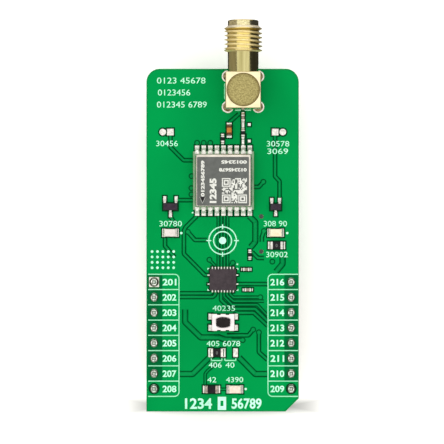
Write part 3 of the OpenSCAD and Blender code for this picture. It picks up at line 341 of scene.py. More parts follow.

# A header joint is bright on top and darker towards its foot, most at the two sides: painted shade
joint = finishes["solder, hand"]
footShade = {"pin": (11.43, 8.89), "pitch": 2.54, "squash": 1.45, "soft": (0.58, 0.9), "colour": "#3f4b38"}   # mm
pinX, pinY = footShade["pin"]
tree = joint["tree"]
spot = addNode(tree, "ShaderNodeSeparateXYZ", {0: joint["place"]}).outputs
outer = addNode(tree, "ShaderNodeMath", {0: spot["X"]}, operation="ABSOLUTE")
reach = addNode(tree, "ShaderNodeMath", {0: outer, 1: pinX * mm}, operation="SUBTRACT")
aside = addNode(tree, "ShaderNodeMath", {0: reach, 1: footShade["squash"]}, operation="MULTIPLY")
along = addNode(tree, "ShaderNodeMath",
                {0: spot["Y"], 1: (pinY + footShade["pitch"] / 2) * mm, 2: (pinY - footShade["pitch"] / 2) * mm},
                operation="WRAP")
flat = addNode(tree, "ShaderNodeCombineXYZ", {0: aside, 1: along})
fromPin = addNode(tree, "ShaderNodeVectorMath", {0: flat, 1: (0, pinY * mm, 0)},
                  operation="DISTANCE").outputs["Value"]
footShaded = addNode(tree, "ShaderNodeMapRange",
                  {0: fromPin, 1: footShade["soft"][0] * mm, 2: footShade["soft"][1] * mm})
cover(joint, footShaded, linear(footShade["colour"]))

# Painted shade: the cap's face darkens towards its rolled rim
cap = finishes["gold plate, sanded"]
rolled = {"starts": 2.25, "ends": 2.74, "share": 0.75, "colour": "#5d4c26"}   # mm from the middle
capLow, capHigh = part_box("jack_cap")
capMiddle = ((capLow.x + capHigh.x) / 2, (capLow.y + capHigh.y) / 2, capHigh.z)
fromMiddle = addNode(cap["tree"], "ShaderNodeVectorMath", {0: cap["place"], 1: capMiddle},
                     operation="DISTANCE").outputs["Value"]
darker = addNode(cap["tree"], "ShaderNodeMapRange", {0: fromMiddle, 1: rolled["starts"] * mm,
                                                     2: rolled["ends"] * mm, 4: rolled["share"]})
cover(cap, darker, linear(rolled["colour"]))
print("finishes")


# What modifiers or a curve make of an object, as a plain mesh
def startMaker(data):
    maker = bpy.data.objects.new("maker", data)
    scene.collection.objects.link(maker)
    return maker


def bake(maker, name):
    mesh = bpy.data.meshes.new_from_object(maker.evaluated_get(bpy.context.evaluated_depsgraph_get()))
    mesh.name = name
    bpy.data.objects.remove(maker)
    return mesh


# CAD nodes: a merged copy with rounded edges and smooth curves takes the node's place
rounding = {"flat": 0.005, "segments": 2, "from": 40, "smooth": 35}   # radians, then degrees


def dress(node, finish, bevel=0.0, body="board"):
    mesh = nodes[node].data.copy()
    mesh.name = node + "_dressed"
    shape = bmesh.new()
    shape.from_mesh(mesh)
    bmesh.ops.remove_doubles(shape, verts=shape.verts, dist=weld["solids"])
    bmesh.ops.dissolve_limit(shape, angle_limit=rounding["flat"], verts=shape.verts, edges=shape.edges)
    shape.to_mesh(mesh)
    shape.free()
    if "custom_normal" in mesh.attributes:
        mesh.attributes.remove(mesh.attributes["custom_normal"])
    mesh.materials.clear()
    mesh.materials.append(finishes[finish]["material"])
    if bevel:
        maker = startMaker(mesh)
        edges = maker.modifiers.new("edges", "BEVEL")
        edges.width = bevel * mm
        edges.segments = rounding["segments"]
        edges.limit_method = "ANGLE"
        edges.angle_limit = math.radians(rounding["from"])
        mesh = bake(maker, node + "_dressed")
    mesh.shade_smooth()
    mesh.set_sharp_from_angle(angle=math.radians(rounding["smooth"]))
    return addPiece(node + "_dressed", mesh, body, [node])


dressed = {   # finish and rounding in mm
    ("header plastic", 0.06): ("left_header_strip", "right_header_strip"),
    ("gold pin", 0.04): ("left_header_pins", "right_header_pins"),
    ("solder, hand", 0): ("header_solder",),
    ("gold plate, polished", 0.03): ("jack_block",),
    ("gold plate, sanded", 0.08): ("jack_cap",),
    ("fluoropolymer", 0): ("jack_insulator",),
    ("gold plate, turned", 0): ("jack_contact",),
    ("solder", 0): ("jack_solder", "chip_solder"),
    ("tinned copper", 0): ("module_contacts", "translator_leads"),
    ("shield steel", 0.05): ("module_shield",),
    ("solder, fillet", 0): ("module_solder",),
    ("mould compound", 0.05): ("translator_body",),
    ("black compound", 0.05): ("fix_transistor_body", "boot_transistor_body"),
    ("tinned copper", 0.02): ("fix_transistor_leads", "boot_transistor_leads", "switch_terminals"),
    ("light laminate", 0.03): ("fix_led_base", "data_led_base", "power_led_base"),
    ("lens epoxy, clear", 0.08): ("fix_led_lens",),
    ("lens epoxy, cream", 0.08): ("data_led_lens",),
    ("lens epoxy, rose", 0.08): ("power_led_lens",),
    ("tinned copper", 0.03): ("fix_led_ends", "data_led_ends", "power_led_ends"),
    ("resistor glaze", 0.03): ("power_resistor_body", "supply_link_body", "bus_link_body"),
    # The power resistor's ends take a painted shade
    ("solder, painted shade", 0.05): ("power_resistor_ends",),
    ("tinned copper", 0.05): ("supply_link_ends", "bus_link_ends"),
    ("inductor ceramic", 0.04): ("bias_inductor_body",),
    ("fired paste", 0.05): ("bias_inductor_ends",),
    ("capacitor ceramic", 0.03): ("small_capacitor_bodies",),
    ("tinned copper", 0.04): ("small_capacitor_ends", "small_resistor_ends"),
    ("resistor glaze", 0.02): ("small_resistor_bodies",),
    ("switch plastic", 0.04): ("switch_base",),
    ("switch steel", 0.03): ("switch_cover",),
}
for (finish, bevel), group in dressed.items():
    for node in group:
        dress(node, finish, bevel)
dress("switch_plunger", "plunger plastic", 0.07, body="boot_button")

# The snap dome keeps a mesh of its own
dome = dress("switch_dome", "switch steel")
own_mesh(dome)

# The rest keep their CAD mesh and take a finish only
plain = {"circuit_board": "solder mask over copper", "solder_pads": "tinned copper",
         "module_board": "module laminate", "jack_bushing": "fluoropolymer",
         "module_receiver_chip": "mould compound", "module_oscillator": "capacitor ceramic",
         "module_filters": "capacitor ceramic"}
for node, finish in plain.items():
    nodes[node].data.materials.clear()
    nodes[node].data.materials.append(finishes[finish]["material"])
print("dressed nodes")


# Geometry node trees: one sweeps a flat strip along paths, one sets discs on points
def startTree(name, sockets):
    tree = bpy.data.node_groups.new(name, "GeometryNodeTree")
    for label, kind in sockets.items():
        tree.interface.new_socket(label, in_out="INPUT", socket_type="NodeSocket" + kind)
    tree.interface.new_socket("Geometry", in_out="OUTPUT", socket_type="NodeSocketGeometry")
    return tree, tree.nodes.new("NodeGroupInput").outputs


def endTree(tree, shape, finish):
    real = addNode(tree, "GeometryNodeRealizeInstances", {0: shape})
    painted = addNode(tree, "GeometryNodeSetMaterial", {0: real, "Material": finish})
    addNode(tree, "NodeGroupOutput", {0: painted})


def runTree(name, tree, source, values):
    maker = startMaker(source)
    nodesModifier = maker.modifiers.new("nodes", "NODES")
    nodesModifier.node_group = tree
    for item in tree.interface.items_tree:
        if item.in_out == "INPUT" and item.name in values:
            nodesModifier[item.identifier] = values[item.name]
    addPiece(name, bake(maker, name), "board")


stripTree, given = startTree("flat strip", {"Paths": "Geometry", "Width": "Float", "Thickness": "Float",
                                            "Corner": "Float", "Finish": "Material"})
line = addNode(stripTree, "GeometryNodeMeshToCurve", {0: given["Paths"]})
rounded = addNode(stripTree, "GeometryNodeFilletCurve",
                  {"Curve": line, "Count": fineness["corner"], "Radius": given["Corner"],
                   "Limit Radius": True}, mode="POLY")
level = addNode(stripTree, "GeometryNodeSetCurveNormal", {0: rounded}, mode="Z_UP")
section = addNode(stripTree, "GeometryNodeCurvePrimitiveQuadrilateral",
                  {"Width": given["Width"], "Height": given["Thickness"]}, mode="RECTANGLE")
swept = addNode(stripTree, "GeometryNodeCurveToMesh", {0: level, 1: section, "Fill Caps": True})
endTree(stripTree, swept, given["Finish"])

discTree, given = startTree("discs", {"Points": "Geometry", "Radius": "Float", "Thickness": "Float",
                                      "Finish": "Material"})
disc = addNode(discTree, "GeometryNodeMeshCylinder",
               {"Vertices": fineness["disc"], "Radius": given["Radius"], "Depth": given["Thickness"]})
placed = addNode(discTree, "GeometryNodeInstanceOnPoints", {0: given["Points"], 2: disc})
endTree(discTree, placed, given["Finish"])

sunk = 0.01     # mm that every printed layer reaches into what carries it
step = 0.0004   # mm between paths that cross, so that no two faces share a plane
stagger = 8     # paths in a row with levels of their own


def addStrips(name, paths, width, top, finish, corner=0.3):
    mesh = bpy.data.meshes.new(name + "_paths")
    points, edges = [], []
    for i, path in enumerate(paths):
        closed = path[0] == path[-1]
        first = len(points)
        level = boardTop + ((top - sunk) / 2 + step * (i % stagger)) * mm
        points += [(x * mm, y * mm, level) for x, y in path[:-1 if closed else None]]
        edges += [(k, k + 1) for k in range(first, len(points) - 1)]
        if closed:
            edges.append((len(points) - 1, first))
    mesh.from_pydata(points, edges, [])
    values = {"Width": width * mm, "Thickness": (top + sunk) * mm, "Corner": corner * mm,
              "Finish": finishes[finish]["material"]}
    runTree(name, stripTree, mesh, values)


def addDiscs(name, points, radius, top, finish, base=boardTop):
    mesh = bpy.data.meshes.new(name + "_points")
    mesh.from_pydata([(x * mm, y * mm, base + (top - sunk) / 2 * mm) for x, y in points], [], [])
    values = {"Radius": radius * mm, "Thickness": (top + sunk) * mm, "Finish": finishes[finish]["material"]}
    runTree(name, discTree, mesh, values)


def boxOutline(x, y, wide, deep):
    return [(x - wide / 2, y - deep / 2), (x + wide / 2, y - deep / 2),
            (x + wide / 2, y + deep / 2), (x - wide / 2, y + deep / 2)]


def ringOutline(x, y, radius, count=fineness["ring"]):
    turns = [2 * math.pi * i / count for i in range(count)]
    return [(x + radius * math.cos(a), y + radius * math.sin(a)) for a in turns]


def cornerArc(x, y, radius, first, count):
    turns = [math.radians(first + 90 * i / count) for i in range(count + 1)]
    return [(x + radius * math.cos(a), y + radius * math.sin(a)) for a in turns]


def meshFrom(shape, name, *coats):
    bmesh.ops.recalc_face_normals(shape, faces=shape.faces)
    mesh = bpy.data.meshes.new(name)
    shape.to_mesh(mesh)
    shape.free()
    for finish in coats:
        mesh.materials.append(finishes[finish]["material"])
    return mesh


# Flat plates from outlines; plates that overlap get levels of their own
def addPlates(name, outlines, top, finish, base=boardTop):
    shape = bmesh.new()
    spans, levels = [], []
    for outline in outlines:
        span = [(min(p[i] for p in outline), max(p[i] for p in outline)) for i in range(2)]
        taken = {levels[k] for k, other in enumerate(spans)
                 if all(other[i][0] < span[i][1] and span[i][0] < other[i][1] for i in range(2))}
        spans.append(span)
        levels.append(min(n for n in range(len(outlines)) if n not in taken))
        foot = shape.faces.new([shape.verts.new((x * mm, y * mm, base - sunk * mm)) for x, y in outline])
        raised = bmesh.ops.extrude_face_region(shape, geom=[foot])["geom"]
        bmesh.ops.translate(shape, vec=(0, 0, (top + sunk + levels[-1] * step) * mm),
                            verts=[v for v in raised if isinstance(v, bmesh.types.BMVert)])
    addPiece(name, meshFrom(shape, name, finish), "board")


# Antenna barrel: turned body, and the thread as a ridge wound round its root
barrel = {"segments": 96, "spigot": (2.35, 1.2), "neck": (2.55, 3.35), "crest": 3.175, "root": 2.62,
          "thread": 4.35, "bore": 2.05, "mouth": (2.3, 1.9), "nose": 2.55, "chamfer": 0.12, "lip": 0.02,
          "collar": 0.04, "leadIn": (0.22, 0.32, 0.56), "runOut": (0.84, 0.54, 0.45), "smooth": 30}
ridge = {"pitch": 0.7056, "turns": 5.0, "begins": 0.27, "foot": 0.38, "fade": 0.05, "thin": 0.2}
low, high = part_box("jack_barrel")
axisX, axisZ = (low.x + high.x) / 2, (low.z + high.z) / 2
back, tip = low.y / mm, high.y / mm
spigot, neck, mouth = barrel["spigot"][0], barrel["neck"][0], barrel["mouth"][0]
bore, root, nose = barrel["bore"], barrel["root"], barrel["nose"]
shoulder = back + barrel["spigot"][1]
start = shoulder + barrel["neck"][1]
end = start + barrel["thread"]
inside = tip - barrel["mouth"][1]
collar = barrel["crest"] - barrel["collar"]
leadIn = [start + y for y in barrel["leadIn"]]
runOut = [end - y for y in barrel["runOut"]]
profile = [(bore, back), (spigot, back), (spigot, shoulder), (neck, shoulder), (neck, start),
           (collar, leadIn[0]), (collar, leadIn[1]), (root, leadIn[2]),
           (root, runOut[0]), (collar, runOut[1]), (collar, runOut[2]),
           (nose + barrel["lip"], end - barrel["lip"]), (nose, end), (nose, tip - barrel["chamfer"]),
           (nose - barrel["chamfer"], tip), (mouth, tip), (mouth, inside), (bore, inside)]
# Painted highlights: the first cone takes the pale worn finish, the run-out an almost white one
sides = {3: 1, 12: 2, 4: 3, 10: 4}   # neck brushed, nose tumbled, first cone worn, run-out rubbed
shape = bmesh.new()
rings = []
for i in range(barrel["segments"]):
    angle = 2 * math.pi * i / barrel["segments"]
    acrossX, acrossZ = mm * math.cos(angle), mm * math.sin(angle)
    rings.append([shape.verts.new((axisX + r * acrossX, y * mm, axisZ + r * acrossZ)) for r, y in profile])
for i, ring in enumerate(rings):
    after = rings[(i + 1) % len(rings)]
    for k in range(len(profile)):
        m = (k + 1) % len(profile)
        shape.faces.new((ring[k], ring[m], after[m], after[k])).material_index = sides.get(k, 0)
turned = meshFrom(shape, "turned_barrel", *("gold plate, " + finish for finish in (
    "turned", "brushed", "tumbled", "worn_with_painted_highlight", "painted_highlight")))
turned.shade_smooth()
turned.set_sharp_from_angle(angle=math.radians(barrel["smooth"]))
addPiece("turned_barrel", turned, "board", ["jack_barrel"])

threadTree, given = startTree("thread ridge", {
    "Place": "Vector", "Root": "Float", "Length": "Float", "Turns": "Float", "Foot": "Float",
    "Depth": "Float", "Fade": "Float", "Thin": "Float", "Finish": "Material"})
helix = addNode(threadTree, "GeometryNodeCurveSpiral",
                {"Resolution": fineness["helix"], "Rotations": given["Turns"], "Start Radius": given["Root"],
                 "End Radius": given["Root"], "Height": given["Length"]})
level = addNode(threadTree, "GeometryNodeSetCurveNormal", {0: helix}, mode="Z_UP")
tooth = addNode(threadTree, "GeometryNodeCurvePrimitiveQuadrilateral",
                {"Width": given["Depth"], "Bottom Height": given["Foot"],
                 "Top Height": given["Foot"]}, mode="KITE")
along = addNode(threadTree, "GeometryNodeSplineParameter").outputs["Factor"]
fromEnd = addNode(threadTree, "ShaderNodeMath", {0: 1.0, 1: along}, operation="SUBTRACT")
nearest = addNode(threadTree, "ShaderNodeMath", {0: along, 1: fromEnd}, operation="MINIMUM")
fade = addNode(threadTree, "ShaderNodeMapRange", {0: nearest, 2: given["Fade"], 3: given["Thin"]})
wound = addNode(threadTree, "GeometryNodeCurveToMesh",
                {0: level, 1: tooth, "Scale": fade, "Fill Caps": True})
laid = addNode(threadTree, "GeometryNodeTransform", {"Geometry": wound, "Translation": given["Place"],
                "Rotation": (-math.pi / 2, 0, 0)})
endTree(threadTree, laid, given["Finish"])
# The ridge's pale finish is partly wear and partly painted highlight
runTree("thread_ridge", threadTree, bpy.data.meshes.new("thread_start"), {
    "Place": (axisX, (start + ridge["begins"]) * mm, axisZ), "Root": root * mm,
    "Length": ridge["turns"] * ridge["pitch"] * mm, "Turns": ridge["turns"], "Foot": ridge["foot"] / 2 * mm,
    "Depth": (barrel["crest"] - root) * 2 * mm, "Fade": ridge["fade"], "Thin": ridge["thin"],
    "Finish": finishes["gold plate, worn_with_painted_highlight"]["material"]})

# Painted shade of the jack's block on the joints of its four legs, inside the bright rims of their pads
legs = {"half": 2.54, "radius": 0.8, "top": 0.012}
blockLow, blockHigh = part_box("jack_block")
jackX, jackY = (blockLow.x + blockHigh.x) / 2 / mm, (blockLow.y + blockHigh.y) / 2 / mm
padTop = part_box("solder_pads")[1].z
legSpots = [(jackX + i * legs["half"], jackY + k * legs["half"]) for i in (-1, 1) for k in (-1, 1)]
addDiscs("jack_joints", legSpots, legs["radius"], legs["top"], "solder, painted block shade", base=padTop)

# A disc of painted shade rings the first pin's joint and leaves the corners of its square pad bright
firstPin = {"place": (-11.43, 8.89), "radius": 0.8, "top": 0.008}
addDiscs("first_joint", [firstPin["place"]], firstPin["radius"], firstPin["top"], "painted joint shade",
         base=padTop)
print("antenna jack and joints")

# Copper under the mask. Each group of tracks lies in a dark etched gap; heights are mm above the board
copper = {"patchTop": 0.003, "gapTop": 0.006, "viaTop": 0.0098, "trackTop": 0.012, "landTop": 0.016,
          "padClear": 0.24, "partClearAndShade": 0.2, "edge": 0.02}
tracks = {
    "fine": {"width": 0.24, "gap": 0.19, "paths": [
        *([(x, 19.9), (x, 11.4)] for x in (-0.72, -0.2, 0.32, 0.84)),
        [(-1.0, -4.6), (-2.5, -5.9), (-2.9, -6.4), (-2.9, -8.2)],
        [(-0.45, -9.0), (0.55, -9.0)], [(-2.2, 12.6), (-1.25, 11.6)], [(1.7, 12.1), (1.25, 11.6)],
        [(0.75, 7.2), (0.75, 6.7), (1.8, 5.7), (6.9, 5.7)],
        [(0.25, 7.2), (0.25, 6.5), (1.6, 5.1), (5.8, 5.1), (7.5, 3.3)],
        [(1.25, 7.2), (1.25, 6.9), (1.8, 6.35), (6.3, 6.35)]]},
    "signal": {"width": 0.36, "gap": 0.22, "paths": [
        [(-8.7, 33.3), (-8.7, 31.4), (-6.5, 29.2), (-5.0, 29.2)],
        [(8.75, 33.4), (8.75, 26.5), (9.5, 25.7), (9.5, 22.9)],
        [(5.2, 24.75), (6.05, 24.75), (6.8, 25.6)], [(-7.5, 22.55), (-5.0, 22.55)],
        [(-4.3, 19.9), (-6.2, 18.0), (-6.45, 17.4), (-6.45, 13.6), (-2.95, 10.05), (-2.4, 10.05)],
        [(-5.8, 17.25), (-4.6, 15.9), (-2.6, 15.9)], [(-9.6, 16.2), (-9.6, 14.9), (-8.0, 13.0)],
        [(-8.6, 19.7), (-8.3, 19.2), (-7.4, 18.0)], [(-7.2, 7.0), (-1.9, 7.0), (-1.7, 7.4)],
        [(-7.2, 6.4), (-1.6, 6.4), (-1.2, 6.8), (-1.2, 7.4)], [(2.4, 8.55), (7.5, 8.55)],
        [(-0.25, 7.2), (-0.25, 5.9), (1.3, 4.4), (5.45, 4.4), (7.5, 2.4)],
        [(2.3, 3.75), (5.2, 3.75), (7.5, 1.6)],
        [(0.7, 0.0), (4.3, 0.0), (5.1, 0.95)], [(1.5, -0.75), (3.35, -0.8)],
        [(6.05, 0.5), (6.05, -2.8), (7.5, -4.1)], [(6.9, 17.4), (6.55, 16.4), (6.55, 15.6)],
        [(4.9, 13.9), (5.9, 12.9), (6.9, 12.9)], [(2.7, 36.9), (1.1, 35.5)]]},
    "wide": {"width": 0.64, "gap": 0.22, "paths": [
        [(4.45, 19.9), (5.45, 18.9), (5.45, 15.6), (4.7, 14.7)], [(10.0, 13.3), (10.0, 11.9), (8.9, 10.6)],
        [(-6.25, 4.3), (-6.25, 2.2), (-3.65, -0.35), (-0.6, -0.35), (0.4, -0.7), (1.5, -0.75)],
        [(-7.2, -6.45), (-5.0, -6.45), (-1.95, -3.45)], [(2.75, -3.7), (5.45, -6.45), (7.5, -6.45)]]},
}
for kind, track in tracks.items():
    addStrips("track_gaps_" + kind, track["paths"], track["width"] + 2 * track["gap"], copper["gapTop"],
              "solder mask over gap")
    addStrips("tracks_" + kind, track["paths"], track["width"], copper["trackTop"], "solder mask over track")

# Covered vias: a small round land in its own gap
vias = {"land": 0.3, "gap": 0.2, "points": [
    (6.8, 25.6), (-5.17, 26.55), (-5.2, 24.55), (-5.2, 23.5), (-4.25, 32.1), (-3.15, 32.1), (-2.05, 32.1),
    (-5.8, 17.25), (-2.2, 12.6), (1.7, 12.1), (6.3, 6.35), (5.1, 0.95), (3.35, -0.8), (6.05, 0.5),
    (8.3, 12.3), (6.9, 17.4)]}
addDiscs("via_gaps", vias["points"], vias["land"] + vias["gap"], copper["viaTop"], "solder mask over gap")
addDiscs("via_lands", vias["points"], vias["land"], copper["landTop"], "solder mask over track")


# Copper-free clearance round pads and parts, worked out from the solids themselves; round the parts the dark
# patch is partly clearance and partly painted shade
island = {"boxy": 0.8, "large": 1.8}   # a box fills its outline to 1 and a disc to 0.71; mm across


def islandOutlines(mesh, spread):
    shape = bmesh.new()
    shape.from_mesh(mesh)
    bmesh.ops.remove_doubles(shape, verts=shape.verts, dist=weld["solids"])
    seen = set()
    outlines = []
    for start in shape.verts:
        if start in seen:
            continue
        seen.add(start)
        queue, points = [start], []
        while queue:
            corner = queue.pop()
            points.append(corner.co / mm)
            for link in corner.link_edges:
                other = link.other_vert(corner)
                if other not in seen:
                    seen.add(other)
                    queue.append(other)
        lows = [min(p[i] for p in points) for i in range(2)]
        highs = [max(p[i] for p in points) for i in range(2)]
        x, y = (lows[0] + highs[0]) / 2, (lows[1] + highs[1]) / 2
        wide, deep = highs[0] - lows[0], highs[1] - lows[1]
        filled = max(abs(p[0] - x) / wide + abs(p[1] - y) / deep for p in points)
        if filled > island["boxy"]:
            outlines.append(boxOutline(x, y, wide + 2 * spread, deep + 2 * spread))
        elif wide < island["large"]:   # the jack's larger pads join the pour
            outlines.append(ringOutline(x, y, wide / 2 + spread))
    shape.free()
    return outlines


clear = islandOutlines(nodes["solder_pads"].data, copper["padClear"])
# Round the parts the patch also carries painted shade
for part in ("fix_led_base", "data_led_base", "power_led_base", "supply_link_body", "bus_link_body",
             "power_resistor_body", "bias_inductor_body", "small_capacitor_bodies", "small_resistor_bodies",
             "switch_base", "translator_body", "fix_transistor_body", "boot_transistor_body"):
    clear += islandOutlines(nodes[part].data, copper["partClearAndShade"])
limit = [(boardLow[i] / mm + copper["edge"], boardHigh[i] / mm - copper["edge"]) for i in range(2)]
clear = [[(min(max(x, limit[0][0]), limit[0][1]), min(max(y, limit[1][0]), limit[1][1])) for x, y in outline]
         for outline in clear]
addPlates("clearances", clear, copper["patchTop"], "solder mask over laminate")

# Dams of mask cross the bare antenna track between its pads
dams = {"x": 3.37, "wide": 0.62, "top": 0.004,
        "rows": ((37.4, 0.4), (35.5, 0.14), (34.6, 0.14), (32.72, 0.13), (31.86, 0.13))}   # y and depth
addPlates("mask_dams", [boxOutline(dams["x"], y, dams["wide"], deep) for y, deep in dams["rows"]],
          dams["top"], "solder mask over gap", base=padTop)

# No pour near the pins
pinStrips = {"spans": ((-12.57, -10.05), (10.3, 12.57)), "near": -7.62, "far": 10.16, "top": 0.0085}
stripY, stripDeep = (pinStrips["near"] + pinStrips["far"]) / 2, pinStrips["far"] - pinStrips["near"]
strips = [boxOutline((x0 + x1) / 2, stripY, x1 - x0, stripDeep) for x0, x1 in pinStrips["spans"]]
addPlates("pin_strips", strips, pinStrips["top"], "solder mask over inner copper")

# The pour stops short of the routed outline
rim = {"inset": 0.14, "width": 0.26, "corner": 2.2, "key": 2.2, "bend": 0.05, "top": 0.004}
left, right = boardLow.x / mm + rim["inset"], boardHigh.x / mm - rim["inset"]
near, far = boardLow.y / mm + rim["inset"], boardHigh.y / mm - rim["inset"]
turn = rim["corner"] - rim["inset"]
outline = [(left, near), (right - rim["key"], near), (right, near + rim["key"])]
outline += cornerArc(right - turn, far - turn, turn, 0, fineness["arc"])
outline += cornerArc(left + turn, far - turn, turn, 90, fineness["arc"])
addStrips("pour_margin", [outline + outline[:1]], rim["width"], rim["top"], "solder mask over track",
          corner=rim["bend"])
print("copper and mask")

# Legend: cells round the pins, plain numbers and simple marks
ink = {"top": 0.02, "lineTop": 0.019, "sightTop": 0.018, "windowTop": 0.022, "line": 0.17, "bend": 0.05}
cells = {"spans": ((-12.4, -7.27), (12.6, 7.57)), "half": 10.18, "pitch": 2.545, "count": 8, "corner": 0.75}
half = cells["half"]
rows = [half - cells["pitch"] * i for i in range(1, cells["count"])]
frames, bars = [], []
for outer, inner in cells["spans"]:
    frames.append([(outer, half), (inner, half), (inner, -half), (outer, -half)])
    bars += [[(outer, y), (inner, y)] for y in rows]
addStrips("legend_frames", frames, ink["line"], ink["top"], "legend ink, thin", corner=cells["corner"])
bars += [[(0.34, 39.4), (0.34, 42.0)], [(2.1, 37.55), (4.75, 37.55)]]   # lines beside the jack
brackets = {"far": -3.85, "near": -4.2, "spans": ((-1.88, -0.12), (0.37, 2.2))}   # the link's two places
bars += [[(x0, brackets["far"]), (x0, brackets["near"]), (x1, brackets["near"]), (x1, brackets["far"])]
         for x0, x1 in brackets["spans"]]
addStrips("legend_lines", bars, ink["line"], ink["lineTop"], "legend ink, thin", corner=ink["bend"])

# Sight mark: rings and ticks round a dot
sight = {"middle": (0.0, 15.8), "rings": (2.3, 1.5), "tick": (1.9, 2.7), "ticks": 4, "line": 0.2, "dot": 0.6}
sightX, sightY = sight["middle"]
marks = []
for radius in sight["rings"]:
    ring = ringOutline(sightX, sightY, radius, fineness["sight"])
    marks.append(ring + ring[:1])
for i in range(sight["ticks"]):
    angle = 2 * math.pi * i / sight["ticks"]
    marks.append([(sightX + math.cos(angle) * r, sightY + math.sin(angle) * r) for r in sight["tick"]])
addStrips("legend_sight", marks, sight["line"], ink["sightTop"], "legend ink", corner=0.0)

# Dots of polarity and first pins, corners of the translator, a block of dots and a filled box
spots = [(-6.89, 17.05, 0.2), (10.77, 17.05, 0.2), (3.85, -8.95, 0.2), (2.45, 11.85, 0.14),
         (-5.0, 20.47, 0.15), (sightX, sightY, sight["dot"])]
dotBlock = {"first": (-11.76, 11.27), "pitch": 0.9, "columns": 5, "rows": 4, "radius": 0.22}
spots += [(dotBlock["first"][0] + dotBlock["pitch"] * i, dotBlock["first"][1] + dotBlock["pitch"] * k,
           dotBlock["radius"]) for i in range(dotBlock["columns"]) for k in range(dotBlock["rows"])]
shapes = [ringOutline(x, y, radius, fineness["dot"]) for x, y, radius in spots]
chip = {"middle": (0.05, 9.33), "reach": (2.58, 1.9), "side": 0.36}
for i in (-1, 1):
    for k in (-1, 1):
        x, y = chip["middle"][0] + i * chip["reach"][0], chip["middle"][1] + k * chip["reach"][1]
        shapes.append([(x, y), (x - i * chip["side"], y), (x, y - k * chip["side"])])
sign = {"middle": (-0.11, -11.35), "outer": (1.4, 2.2), "inner": (0.5, 0.9)}
shapes.append(boxOutline(*sign["middle"], *sign["outer"]))
addPlates("legend_shapes", shapes, ink["top"], "legend ink")
addPlates("legend_window", [boxOutline(*sign["middle"], *sign["inner"])], ink["windowTop"],
          "solder mask over copper")


# Numbers: height and width of the whole word in mm, turned in degrees
def addNumbers(name, items, top, finish, base=boardTop, weight=0.03):
    shape = bmesh.new()
    for words, x, y, height, width, turn in items:
        curve = bpy.data.curves.new(name, "FONT")
        curve.body = words
        curve.size = height * mm
        curve.offset = weight * height * mm
        curve.extrude = (top + sunk) / 2 * mm
        curve.resolution_u = fineness["text"]
        mesh = bake(startMaker(curve), name + "_word")
        spans = [(min(v.co[i] for v in mesh.vertices), max(v.co[i] for v in mesh.vertices)) for i in range(2)]
        fit = [want * mm / (high - low) for want, (low, high) in zip((width, height), spans)]
        mesh.transform(Matrix.Translation((x * mm, y * mm, base + (top - sunk) / 2 * mm))
                       @ Matrix.Rotation(math.radians(turn), 4, "Z") @ Matrix.Diagonal((*fit, 1, 1))
                       @ Matrix.Translation((-sum(spans[0]) / 2, -sum(spans[1]) / 2, 0)))
        shape.from_mesh(mesh)
        bpy.data.meshes.remove(mesh)
    bmesh.ops.remove_doubles(shape, verts=shape.verts, dist=weld["numbers"])
    addPiece(name, meshFrom(shape, name, finish), "board")


pinText = {"numbers": (201, 216), "x": (-8.86, 9.13), "first": 8.87, "size": (1.12, 2.3), "weight": 0.025}
rows = [pinText["first"] - cells["pitch"] * i for i in range(cells["count"])]
pinNumbers = []
for number, x, way in zip(pinText["numbers"], pinText["x"], (1, -1)):
    pinNumbers += [(str(number + way * i), x, y, *pinText["size"], 0) for i, y in enumerate(rows)]
pinNumbers += [("1234", -4.02, -11.38, 1.8, 4.5, 0), ("56789", 4.0, -11.38, 1.8, 5.0, 0)]
addNumbers("legend_pin_numbers", pinNumbers, ink["top"], "legend ink", weight=pinText["weight"])
numbers = [("0123 45678", -6.9, 42.49, 1.0, 8.1, 0), ("0123456", -8.1, 40.5, 1.0, 5.4, 0),
           ("012345 6789", -6.8, 38.49, 1.0, 8.3, 0), ("30456", -9.27, 32.0, 0.92, 3.6, 0),
           ("30578", 9.24, 31.95, 0.92, 3.75, 0), ("3069", 9.19, 30.7, 0.92, 3.45, 0),
           ("30780", -8.67, 18.63, 0.92, 3.75, 0), ("308 90", 8.8, 18.63, 0.92, 3.85, 0),
           ("30902", 9.06, 13.48, 0.92, 3.6, 0), ("40235", 0.2, 4.52, 0.9, 3.75, 0),
           ("405 6078", 0.12, -1.37, 0.9, 5.6, 0), ("406", -1.25, -4.95, 0.88, 2.15, 0),
           ("40", 1.22, -4.95, 0.88, 1.5, 0), ("42", -1.8, -7.4, 0.88, 1.5, 0),
           ("4390", 2.0, -7.4, 0.88, 2.85, 0)]
addNumbers("legend_numbers", numbers, ink["top"], "legend ink", weight=0.0)
linkText = {"size": (0.55, 0.34), "top": 0.004}
for node in ("supply_link_body", "bus_link_body"):
    low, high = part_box(node)
    zero = ("0", (low.x + high.x) / 2 / mm, (low.y + high.y) / 2 / mm, *linkText["size"], 0)
    addNumbers(node + "_number", [zero], linkText["top"], "laser grey", base=high.z)
print("legend")

# Marking on the shield: a grey field, a made-up square of cells, turned numbers and a corner pointer
canLow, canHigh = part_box("module_shield")
canTop = canHigh.z
canX, canY = (canLow.x + canHigh.x) / 2 / mm, (canLow.y + canHigh.y) / 2 / mm
field = {"left": 0.25, "right": 0.42, "near": 0.2, "far": 0.5, "corner": 0.2, "arc": 6, "top": 0.008}   # mm
lows = (canLow.x / mm + field["left"] + field["corner"], canLow.y / mm + field["near"] + field["corner"])
highs = (canHigh.x / mm - field["right"] - field["corner"], canHigh.y / mm - field["far"] - field["corner"])
outline = []
for x, y, first in ((highs[0], highs[1], 0), (lows[0], highs[1], 90), (lows[0], lows[1], 180),
                    (highs[0], lows[1], 270)):
    outline += cornerArc(x, y, field["corner"], first, field["arc"])
addPlates("shield_field", [outline], field["top"], "laser grey", base=canTop)

